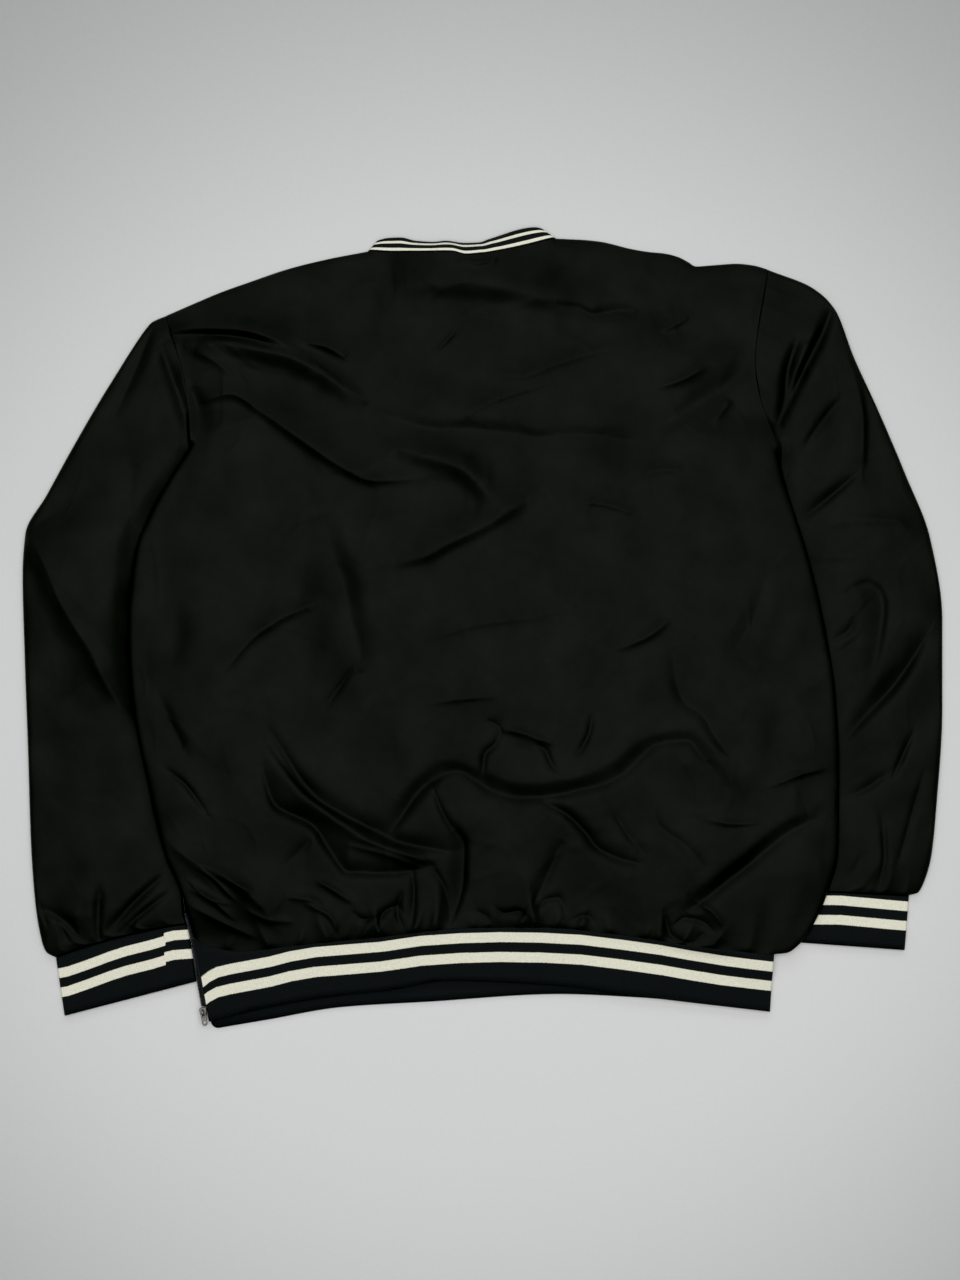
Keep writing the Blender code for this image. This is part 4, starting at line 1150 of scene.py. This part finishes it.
def threads(name, starts, ends, radius):
    """One mesh of short six-sided threads, thinner at both ends."""
    turns = np.linspace(0, 2 * np.pi, 7)[:-1]
    stations = [(0.0, 0.35), (0.2, 1.0), (0.8, 1.0), (1.0, 0.35)]
    points, faces = [], []
    for start, end in zip(starts, ends):
        axis = (end - start) / np.linalg.norm(end - start)
        side = np.cross(axis, [0, 0, 1])
        side /= np.linalg.norm(side)
        up = np.cross(side, axis)
        base = len(points)
        for along, size in stations:
            for turn in turns:
                outward = np.cos(turn) * side + np.sin(turn) * up
                points.append(start + along * (end - start) + radius * size * outward)
        for ring in range(3):
            for k in range(6):
                a, b = base + 6 * ring + k, base + 6 * ring + (k + 1) % 6
                faces.append((a, b, b + 6, a + 6))
        faces.append(tuple(base + k for k in range(5, -1, -1)))
        faces.append(tuple(base + 18 + k for k in range(6)))
    mesh = bpy.data.meshes.new(name)
    mesh.from_pydata((np.array(points) * MM).tolist(), [], faces)
    mesh.shade_smooth()
    return mesh


def plate(name, outlines, thickness, bevel):
    """A flat plate with rounded edges from closed outlines in millimetres, the later ones being holes."""
    curve = bpy.data.curves.new(name, "CURVE")
    curve.dimensions = "2D"
    curve.fill_mode = "BOTH"
    curve.extrude = (thickness / 2 - bevel) * MM
    curve.bevel_depth = bevel * MM
    curve.offset = -bevel * MM
    curve.bevel_resolution = 2
    for outline in outlines:
        spline = curve.splines.new("POLY")
        spline.points.add(len(outline) - 1)
        for point, (x, y) in zip(spline.points, outline):
            point.co = (x * MM, y * MM, 0, 1)
        spline.use_cyclic_u = True
    holder = bpy.data.objects.new(name, curve)
    mesh = bpy.data.meshes.new_from_object(holder)
    bpy.data.objects.remove(holder)
    bpy.data.curves.remove(curve)
    return mesh


def join_plate(bm, outline, thickness, bevel, place):
    """Adds a plate at a place to a mesh that is being built."""
    mesh = plate("plate", [outline], thickness, bevel)
    mesh.transform(place)
    bm.from_mesh(mesh)
    bpy.data.meshes.remove(mesh)


def add_node(tree, kind, settings=None, links=None):
    """Adds a node with its settings, by attribute or input, and links its inputs to other nodes' outputs."""
    node = tree.nodes.new(kind)
    for key, value in (settings or {}).items():
        if isinstance(key, str) and hasattr(node, key):
            setattr(node, key, value)
        else:
            node.inputs[key].default_value = value
    for key, socket in (links or {}).items():
        tree.links.new(socket, node.inputs[key])
    return node


def noise(tree, place, size, detail):
    """Noise whose bumps are about a size in metres."""
    settings = {"Scale": 1 / size, "Detail": detail}
    return add_node(tree, "ShaderNodeTexNoise", settings, {"Vector": place}).outputs["Fac"]


def waves(tree, place, pitch, direction, distortion=0.0):
    """Even ridges a pitch apart in metres."""
    settings = {"bands_direction": direction, "Scale": WAVE_SCALE / pitch, "Distortion": distortion}
    return add_node(tree, "ShaderNodeTexWave", settings, {"Vector": place}).outputs["Fac"]


def mapped(tree, value, low, high):
    """A value of 0 to 1 spread over another range."""
    settings = {"To Min": low, "To Max": high}
    return add_node(tree, "ShaderNodeMapRange", settings, {"Value": value}).outputs["Result"]


def tint(tree, shader, value, colour, tones, span=(0.0, 1.0)):
    """Base colour from a darker to a paler tone of a colour, over a span of a value."""
    shade = add_node(tree, "ShaderNodeValToRGB", None, {"Fac": value})
    for element, tone, position in zip(shade.color_ramp.elements, tones, span):
        element.position = position
        element.color = (*(tone * c for c in colour), 1)
    tree.links.new(shade.outputs["Color"], shader.inputs["Base Color"])


def roughen(tree, shader, value, low, high):
    """Roughness that follows a value."""
    tree.links.new(mapped(tree, value, low, high), shader.inputs["Roughness"])


def emboss(tree, shader, height, strength, distance):
    """Fine relief that follows a height."""
    settings = {"Strength": strength, "Distance": distance}
    bump = add_node(tree, "ShaderNodeBump", settings, {"Height": height})
    tree.links.new(bump.outputs["Normal"], shader.inputs["Normal"])


def start_finish(name, settings):
    """A new material with its shader's constants, and that shader and its tree."""
    finish = bpy.data.materials.new(name)
    finish.use_nodes = True
    shader = finish.node_tree.nodes["Principled BSDF"]
    for key, value in settings.items():
        shader.inputs[key].default_value = value
    return finish, finish.node_tree, shader


def nylon_taffeta(colours):
    """Black nylon taffeta, plain woven and lightly brushed: deep black with a satin gleam on each ridge."""
    finish, tree, shader = start_finish("Nylon taffeta, black", {"Specular IOR Level": 0.05, "IOR": 1.53})
    place = add_node(tree, "ShaderNodeUVMap", {"uv_map": "Cloth"}).outputs["UV"]
    # A thread is 0.2 mm; it is drawn 0.9 mm wide so that it shows
    warp, weft = (waves(tree, place, 0.0009, direction, 0.6) for direction in "XY")
    weave = add_node(tree, "ShaderNodeMath", {"operation": "MULTIPLY"}, {0: warp, 1: weft}).outputs[0]
    slack = noise(tree, place, 0.009, 3.0)
    height = add_node(tree, "ShaderNodeMath", {"operation": "MULTIPLY_ADD", 1: 0.12}, {0: weave, 2: slack})
    emboss(tree, shader, height.outputs[0], 0.25, 0.0006)
    tint(tree, shader, noise(tree, place, 0.05, 4.0), colours.shell, (0.8, 1.2), (0.3, 0.7))
    roughen(tree, shader, slack, 0.44, 0.54)
    return finish


def acrylic_rib(colours):
    """Doubled rib knit of acrylic and elastane: matt, slightly hairy black yarn with two cream stripes."""
    finish, tree, shader = start_finish("Acrylic rib, black and cream", {
        "Specular IOR Level": 0.08, "IOR": 1.49,
    })
    place = add_node(tree, "ShaderNodeUVMap", {"uv_map": "Cloth"}).outputs["UV"]
    stripe_map = add_node(tree, "ShaderNodeUVMap", {"uv_map": "Stripes"}).outputs["UV"]
    across = add_node(tree, "ShaderNodeSeparateXYZ", None, {"Vector": stripe_map}).outputs["Y"]
    # The edge of a stripe steps by half a loop of the knit
    loops = noise(tree, place, 0.0012, 1.0)
    edge = add_node(tree, "ShaderNodeMath", {"operation": "MULTIPLY_ADD", 1: 0.014}, {0: loops, 2: across})
    bands = add_node(tree, "ShaderNodeValToRGB", None, {"Fac": edge.outputs[0]})
    ramp = bands.color_ramp
    ramp.elements.remove(ramp.elements[0])
    ramp.elements[0].position = 0.0
    ramp.elements[0].color = (*colours.rib, 1)
    before, after = colours.rib, colours.stripe
    for stop in RIB_STRIPES:
        ramp.elements.new(stop + 0.003).color = (*before, 1)
        ramp.elements.new(stop + 0.011).color = (*after, 1)
        before, after = after, before
    fuzz = noise(tree, place, 0.003, 4.0)
    tone = add_node(tree, "ShaderNodeVectorMath", {"operation": "SCALE"},
                    {0: bands.outputs["Color"], "Scale": mapped(tree, fuzz, 0.82, 1.08)})
    tree.links.new(tone.outputs["Vector"], shader.inputs["Base Color"])
    # Courses of the knit are 1.3 mm apart
    emboss(tree, shader, waves(tree, place, 0.0013, "Y", 1.0), 0.35, 0.0004)
    roughen(tree, shader, fuzz, 0.72, 0.9)
    return finish


def polyester_tape(colours):
    """Herringbone polyester tape, dyed black: matt, with slanting ridges a millimetre apart."""
    finish, tree, shader = start_finish("Polyester zip tape, black", {"Specular IOR Level": 0.2, "IOR": 1.57})
    place = add_node(tree, "ShaderNodeTexCoord").outputs["Object"]
    twill = waves(tree, place, 0.001, "DIAGONAL", 0.4)
    emboss(tree, shader, twill, 0.5, 0.0003)
    tint(tree, shader, twill, colours.tape, (0.7, 1.3))
    roughen(tree, shader, twill, 0.65, 0.85)
    return finish


def coil_with_painted_glint(colours):
    """Drawn nylon monofilament wound to a coil, smooth and showing a little wear: its grey colour is a
    painted glint on the turns.
    """
    finish, tree, shader = start_finish("Nylon monofilament, grey painted glint", {"Specular IOR Level": 0.5, "IOR": 1.53})
    place = add_node(tree, "ShaderNodeTexCoord").outputs["Object"]
    # Random patches of wear in the roughness, and of the painted glint in the colour
    wear_and_glint = noise(tree, place, 0.004, 3.0)
    tint(tree, shader, wear_and_glint, colours.coil, (0.3, 1.0), (0.35, 0.65))
    roughen(tree, shader, wear_and_glint, 0.25, 0.45)
    return finish


def plated_zinc(colours):
    """Die-cast zinc, tumbled and nickel plated: bright, with fine rub marks and duller hollows."""
    finish, tree, shader = start_finish("Nickel-plated zinc", {"Metallic": 1.0})
    place = add_node(tree, "ShaderNodeTexCoord").outputs["Object"]
    rubbed = noise(tree, place, 0.0015, 5.0)
    tint(tree, shader, rubbed, colours.metal, (0.6, 1.0), (0.3, 0.6))
    roughen(tree, shader, rubbed, 0.18, 0.42)
    emboss(tree, shader, rubbed, 0.08, 0.0002)
    return finish


def spun_thread(colours):
    """Spun polyester thread, dyed black: matt, with the twist of its plies."""
    finish, tree, shader = start_finish("Spun polyester thread, black", {
        "Specular IOR Level": 0.25, "Roughness": 0.7, "IOR": 1.57,
    })
    place = add_node(tree, "ShaderNodeTexCoord").outputs["Object"]
    tint(tree, shader, waves(tree, place, 0.0005, "DIAGONAL"), colours.tape, (0.7, 1.6))
    return finish


def floor_with_painted_light_pool(colours):
    """Pale matt paint on board, with a painted pool of light: its colour is a little brighter in the middle
    and darker outwards.
    """
    finish, tree, shader = start_finish("Matt floor paint, pale grey", {
        "Roughness": 0.9, "Specular IOR Level": 0.1,
    })
    place = add_node(tree, "ShaderNodeTexCoord").outputs["Object"]
    grit = noise(tree, place, 0.004, 5.0)
    # Painted light: the base colour fades from bright near the middle to darker outwards, as a pool of light
    # would
    middle = add_node(tree, "ShaderNodeVectorMath", {"operation": "ADD", 1: (0.0, 0.15, 0.0)}, {0: place})
    spread = add_node(tree, "ShaderNodeVectorMath", {"operation": "LENGTH"}, {0: middle.outputs["Vector"]})
    fade = add_node(tree, "ShaderNodeMapRange", {
        "interpolation_type": "SMOOTHSTEP", "From Min": 0.3, "From Max": 1.0, "To Min": 0.98, "To Max": 0.5,
    }, {"Value": spread.outputs["Value"]})
    grain = mapped(tree, grit, -0.02, 0.02)
    light_pool_and_grit = add_node(tree, "ShaderNodeMath", {"operation": "ADD"}, {0: fade.outputs["Result"], 1: grain})
    tone = add_node(tree, "ShaderNodeVectorMath", {"operation": "SCALE", 0: colours.floor},
                    {"Scale": light_pool_and_grit.outputs[0]})
    tree.links.new(tone.outputs["Vector"], shader.inputs["Base Color"])
    return finish


def finish_named(name, make, colours):
    """The material of that name if it is made already, or a new one."""
    return bpy.data.materials.get(name) or make(colours)


def chosen(context):
    """The sizes and colours that are set in the sidebar."""
    return context.scene.windshirt_sizes, context.scene.windshirt_colours


class WINDSHIRT_OT_body(bpy.types.Operator):
    """Make the back and the front panel of the body"""

    bl_idname = "windshirt.body"
    bl_label = "Body"

    def execute(self, context):
        sizes, colours = chosen(context)
        nylon = finish_named("Nylon taffeta, black", nylon_taffeta, colours)
        back = place_piece("back_shell", back_cloth(sizes), nylon, nodes=["back_panel"])

        plan = body_plan(*body_grid(INNER_FINENESS), HEM_FRONT, NECK_FRONT)
        x, y = plan[..., 0], plan[..., 1]
        outline = (SIDE_LEFT, SIDE_RIGHT, SHOULDER_LEFT, SHOULDER_RIGHT, HEM_FRONT, NECK_FRONT)
        edges = np.concatenate([dense(c) for c in outline])
        inner = 1 - np.exp(-distance_to(edges, x, y)[0] / FRONT_HOLD)
        relief = FRONT_RELIEF * (1 + uneven(x, y, FRONT_SWELLS))
        relief = inner * (relief + FRONT_WRINKLE_RISE * wrinkles(x, y, FRONT_WRINKLES))
        points = np.dstack([plan, lift(x, y) + np.maximum(relief, 0)])
        mesh = lay_cloth("front_shell", points, face_up=False, maps={"Cloth": plan * MM})
        front = place_piece(
            "front_shell", mesh, nylon, wall=sizes.shell_wall, nodes=["front_panel"])
        return {"FINISHED"}


class WINDSHIRT_OT_sleeves(bpy.types.Operator):
    """Make both sleeves, which lie down along the body"""

    bl_idname = "windshirt.sleeves"
    bl_label = "Sleeves"

    def execute(self, context):
        sizes, colours = chosen(context)
        nylon = finish_named("Nylon taffeta, black", nylon_taffeta, colours)
        for side in SIDES:
            upper, lower, cloth = sleeve_walls(side, sizes)
            points = fold_tube(upper, lower)
            under = cloth[:, ::-SLEEVE_UNDER] * [-1, 1] + [2 * cloth[..., 0].max(), 0]
            grid = np.concatenate([cloth, under[:, 1:]], axis=1)
            name = "sleeve_shell_" + side.name
            mesh = lay_cloth(name, points, wrap=True, maps={"Cloth": grid})
            sleeve = place_piece(
                name, mesh, nylon, wall=sizes.shell_wall, nodes=["sleeve_" + side.name])
        return {"FINISHED"}


class WINDSHIRT_OT_cuffs(bpy.types.Operator):
    """Make both rib cuffs"""

    bl_idname = "windshirt.cuffs"
    bl_label = "Cuffs"

    def execute(self, context):
        sizes, colours = chosen(context)
        rib = finish_named("Acrylic rib, black and cream", acrylic_rib, colours)
        for side in SIDES:
            upper, lower, cloth, stripes = cuff_walls(side, sizes)
            points = fold_tube(upper, lower)
            cloth, stripes = (fold_tube(m, m, closed=False) for m in (cloth, stripes))
            name = "cuff_rib_" + side.name
            mesh = lay_cloth(name, points, wrap=True, maps={"Cloth": cloth, "Stripes": stripes})
            cuff = place_piece(
                name, mesh, rib, wall=sizes.rib_wall, nodes=["cuff_" + side.name])
        return {"FINISHED"}


class WINDSHIRT_OT_hem_band(bpy.types.Operator):
    """Make the rib band round the hem, open at the zip"""

    bl_idname = "windshirt.hem_band"
    bl_label = "Hem band"

    def execute(self, context):
        sizes, colours = chosen(context)
        rib = finish_named("Acrylic rib, black and cream", acrylic_rib, colours)
        back, front = band_walls(sizes)
        count = back[0].shape[1]
        points, cloth, stripes = (
            fold_tube(upper, even_columns(lower, count), closed=False) for upper, lower in zip(back, front)
        )
        mesh = lay_cloth("hem_rib", points, maps={"Cloth": cloth, "Stripes": stripes})
        band = place_piece("hem_rib", mesh, rib, wall=sizes.rib_wall, nodes=["hem_band"])
        return {"FINISHED"}


class WINDSHIRT_OT_collar(bpy.types.Operator):
    """Make the rib collar"""

    bl_idname = "windshirt.collar"
    bl_label = "Collar"

    def execute(self, context):
        sizes, colours = chosen(context)
        rib = finish_named("Acrylic rib, black and cream", acrylic_rib, colours)
        (back, *back_maps), (front, *front_maps) = collar_walls(sizes)
        count = front.shape[1]
        points = fold_tube(even_columns(back, count), front)
        cloth, stripes = (
            fold_tube(even_columns(upper, count), lower, closed=False)
            for upper, lower in zip(back_maps, front_maps)
        )
        mesh = lay_cloth("collar_rib", points, wrap=True, maps={"Cloth": cloth, "Stripes": stripes})
        collar = place_piece("collar_rib", mesh, rib, wall=sizes.rib_wall, nodes=["collar"])
        return {"FINISHED"}


class WINDSHIRT_OT_seams(bpy.types.Operator):
    """Sew the stitches that close the armhole, neck and hem seams"""

    bl_idname = "windshirt.seams"
    bl_label = "Seams"

    def execute(self, context):
        sizes, colours = chosen(context)
        thread = finish_named("Spun polyester thread, black", spun_thread, colours)
        starts, ends = [], []
        for curve, reach in ((ARMHOLE_LEFT, 1.3), (ARMHOLE_RIGHT, 1.3), (NECK_BACK, 1.1), (HEM_BACK, 1.2)):
            spots, heading = even_spots(dense(curve, 400), SEAM_END, SEAM_END, sizes.stitch_pitch / MM)
            across = np.column_stack([-heading[:, 1], heading[:, 0]])
            height = back_height(spots[:, 0], spots[:, 1], sizes) - STITCH_SINK
            for spot, cross, along, z in zip(spots, across, heading, height):
                starts.append(np.array([*(spot - reach * cross - STITCH_LEAN * along), z]))
                ends.append(np.array([*(spot + reach * cross + STITCH_LEAN * along), z]))
        mesh = threads("seam_stitches", starts, ends, STITCH_RADIUS)
        place_piece("seam_stitches", mesh, thread)
        return {"FINISHED"}


class WINDSHIRT_OT_zip(bpy.types.Operator):
    """Make the tapes and the closed coil of the side zip"""

    bl_idname = "windshirt.zip"
    bl_label = "Zip"

    def execute(self, context):
        sizes, colours = chosen(context)
        tape = finish_named("Polyester zip tape, black", polyester_tape, colours)
        coil = finish_named("Nylon monofilament, grey painted glint", coil_with_painted_glint, colours)
        parts = (
            ("back", 0.0, ZIP_SPLIT - TAPE_GAP, 0.0),
            ("front", ZIP_SPLIT + TAPE_GAP, 1.0, FRONT_TAPE_START),
        )
        across, along = TAPE_GRID
        for name, low, high, start in parts:
            q, v = np.meshgrid(np.linspace(low, high, across), np.linspace(start, 1, along))
            mesh = lay_cloth("tape_woven_" + name, tape_points(q, v, float(name == "front")))
            nodes = ["zip_tape_" + name]
            place_piece("tape_woven_" + name, mesh, tape, wall=sizes.tape_wall, nodes=nodes)
        spots, heading = even_spots(chain_line(), *COIL_ENDS, sizes.coil_pitch / MM)
        stretch = Matrix.Diagonal((*(half * MM for half in COIL_TURN), 1))
        bm = bmesh.new()
        for spot, along in zip(spots, heading):
            side = np.cross(along, [0, 0, 1])
            for hand in (-1, 1):
                centre = Vector((spot + hand * COIL_ASIDE * side + hand * COIL_LEAN * along) * MM)
                axes = Matrix((side, along, np.cross(side, along))).transposed().to_4x4()
                turn = Matrix.Translation(centre) @ axes @ stretch
                bmesh.ops.create_uvsphere(bm, u_segments=10, v_segments=7, radius=1.0, matrix=turn)
        mesh = bpy.data.meshes.new("coil_turns")
        bm.to_mesh(mesh)
        bm.free()
        mesh.shade_smooth()
        place_piece("coil_turns", mesh, coil, nodes=["zip_chain"])
        return {"FINISHED"}


class WINDSHIRT_OT_slider(bpy.types.Operator):
    """Make the zip's slider and the pull tab that turns on it"""

    bl_idname = "windshirt.slider"
    bl_label = "Slider and pull tab"

    def execute(self, context):
        sizes, colours = chosen(context)
        zinc = finish_named("Nickel-plated zinc", plated_zinc, colours)
        place = slider_place()
        shield = [
            (-4.5, -2.0), (-3.9, -2.9), (-2.4, -3.2), (0.5, -3.0), (3.4, -2.4), (4.3, -1.6), (4.5, 0.0),
        ]
        shield += [(x, -y) for x, y in shield[-2::-1]]
        post = [(-4.2, -1.2), (-2.6, -0.9), (-1.4, 0.0), (-2.6, 0.9), (-4.2, 1.2)]
        wall_low = [(0.2, -2.9), (4.0, -1.9), (4.0, -1.3), (0.2, -2.2)]
        wall_high = [(0.2, 2.2), (4.0, 1.3), (4.0, 1.9), (0.2, 2.9)]
        arch = [(-3.0, -0.3), (-3.0, 1.6), (-2.5, 2.6), (-1.5, 3.05)]
        arch += [(-x, y) for x, y in arch[::-1]]
        opening = [(1.9, -0.3), (1.85, 1.2), (1.5, 1.8), (0.9, 2.0)]
        arch += opening + [(-x, y) for x, y in opening[::-1]]
        bm = bmesh.new()
        for middle in (-0.6, -3.4):
            join_plate(bm, shield, 1.2, 0.3, Matrix.Translation((0, 0, middle * MM)))
        for outline in (post, wall_low, wall_high):
            join_plate(bm, outline, 2.4, 0.1, Matrix.Translation((0, 0, -2.0 * MM)))
        join_plate(bm, arch, 1.6, 0.3, Matrix.Rotation(math.pi / 2, 4, "X"))
        mesh = bpy.data.meshes.new("slider_cast")
        bm.to_mesh(mesh)
        bm.free()
        mesh.transform(place)
        place_piece("slider_cast", mesh, zinc, nodes=["zip_slider"])

        turn = np.linspace(-math.pi / 2, math.pi / 2, sizes.pull_sides)
        outline = [(-0.5, 1.5), (-0.5, -1.5), (0.3, -2.3), (1.5, -2.45)]
        outline += [(9.9 + 2.45 * math.cos(a), 2.45 * math.sin(a)) for a in turn]
        outline += [(1.5, 2.45), (0.3, 2.3)]
        slot = [(0.6, -1.2), (4.1, -1.2), (4.1, 1.2), (0.6, 1.2)]
        eye = [(8.9 + 1.35 * math.cos(a), 1.35 * math.sin(a)) for a in np.linspace(0, 2 * math.pi, 25)[:-1]]
        mesh = plate("pull_stamped", [outline, slot, eye], 1.2, 0.3)
        mesh.transform(place @ Matrix.Translation((0, 0, BRIDGE_OPENING_HEIGHT / 2 * MM)))
        place_piece("pull_stamped", mesh, zinc, body="pull_tab", nodes=["zip_pull"])
        return {"FINISHED"}


class WINDSHIRT_OT_stage(bpy.types.Operator):
    """Make the floor, the soft studio light and the camera straight above"""

    bl_idname = "windshirt.stage"
    bl_label = "Floor, light and camera"

    def execute(self, context):
        scene = context.scene
        mesh = bpy.data.meshes.new("floor")
        corners = [(x * FLOOR_HALF, y * FLOOR_HALF, 0) for x, y in ((-1, -1), (1, -1), (1, 1), (-1, 1))]
        mesh.from_pydata(corners, [], [(0, 1, 2, 3)])
        floor = bpy.data.objects.new("floor", mesh)
        floor.location.z = -FLOOR_DROP
        paint = finish_named("Matt floor paint, pale grey", floor_with_painted_light_pool, scene.windshirt_colours)
        mesh.materials.append(paint)
        scene.collection.objects.link(floor)
        lamps = [
            ("ceiling_light", (0.0, 0.1, 2.4), (2.8, 2.2), 47.0, (1.0, 1.0, 0.985), 1.0),
            ("window_light", (0.0, 2.0, 1.3), (2.2, 0.9), 11.0, (0.92, 0.97, 1.0), 0.0),
        ]
        for name, spot, (width, depth), power, tone, aim in lamps:
            lamp = bpy.data.lights.new(name, "AREA")
            lamp.shape = "RECTANGLE"
            lamp.size, lamp.size_y = width, depth
            lamp.energy = power
            lamp.color = tone
            holder = bpy.data.objects.new(name, lamp)
            holder.location = spot
            holder.rotation_mode = "QUATERNION"
            toward = Vector((0, spot[1] * aim, 0)) - Vector(spot)
            holder.rotation_quaternion = toward.to_track_quat("-Z", "Y")
            scene.collection.objects.link(holder)
        world = bpy.data.worlds.new("studio")
        world.use_nodes = True
        sky = world.node_tree.nodes["Background"]
        sky.inputs["Color"].default_value = (0.95, 0.97, 1.0, 1.0)
        sky.inputs["Strength"].default_value = 0.2
        scene.world = world
        view = scene.view_settings
        view.view_transform = "Standard"
        # A camera presses the deepest blacks together
        view.use_curve_mapping = True
        view.curve_mapping.black_level = (BLACK_LEVEL,) * 3
        view.curve_mapping.update()
        lens = bpy.data.cameras.new("camera")
        lens.sensor_width = SENSOR_MM
        lens.lens = SENSOR_MM * CAMERA_SPOT[2] / FRAME_HEIGHT
        camera = bpy.data.objects.new("camera", lens)
        camera.location = CAMERA_SPOT
        scene.collection.objects.link(camera)
        scene.camera = camera
        return {"FINISHED"}


class WINDSHIRT_PT_panel(bpy.types.Panel):
    """Lists the windshirt's sizes, colours and pieces"""

    bl_idname = "WINDSHIRT_PT_panel"
    bl_label = "Pullover windshirt"
    bl_space_type = "VIEW_3D"
    bl_region_type = "UI"
    bl_category = "Windshirt"

    def draw(self, context):
        for settings in (context.scene.windshirt_sizes, context.scene.windshirt_colours):
            box = self.layout.box()
            for name in settings.__annotations__:
                box.prop(settings, name)
        for operator in OPERATORS:
            self.layout.operator(operator.bl_idname)


OPERATORS = (
    WINDSHIRT_OT_body,
    WINDSHIRT_OT_sleeves,
    WINDSHIRT_OT_cuffs,
    WINDSHIRT_OT_hem_band,
    WINDSHIRT_OT_collar,
    WINDSHIRT_OT_seams,
    WINDSHIRT_OT_zip,
    WINDSHIRT_OT_slider,
    WINDSHIRT_OT_stage,
)
CLASSES = (WindshirtSizes, WindshirtColours, *OPERATORS, WINDSHIRT_PT_panel)


def register():
    for cls in CLASSES:
        bpy.utils.register_class(cls)
    bpy.types.Scene.windshirt_sizes = PointerProperty(type=WindshirtSizes)
    bpy.types.Scene.windshirt_colours = PointerProperty(type=WindshirtColours)


def unregister():
    del bpy.types.Scene.windshirt_colours
    del bpy.types.Scene.windshirt_sizes
    for cls in reversed(CLASSES):
        bpy.utils.unregister_class(cls)


def main():
    register()
    bpy.ops.windshirt.body()
    bpy.ops.windshirt.sleeves()
    bpy.ops.windshirt.cuffs()
    bpy.ops.windshirt.hem_band()
    bpy.ops.windshirt.collar()
    bpy.ops.windshirt.seams()
    bpy.ops.windshirt.zip()
    bpy.ops.windshirt.slider()
    bpy.ops.windshirt.stage()
    bpy.context.view_layer.update()


if __name__ == "__main__":
    main()
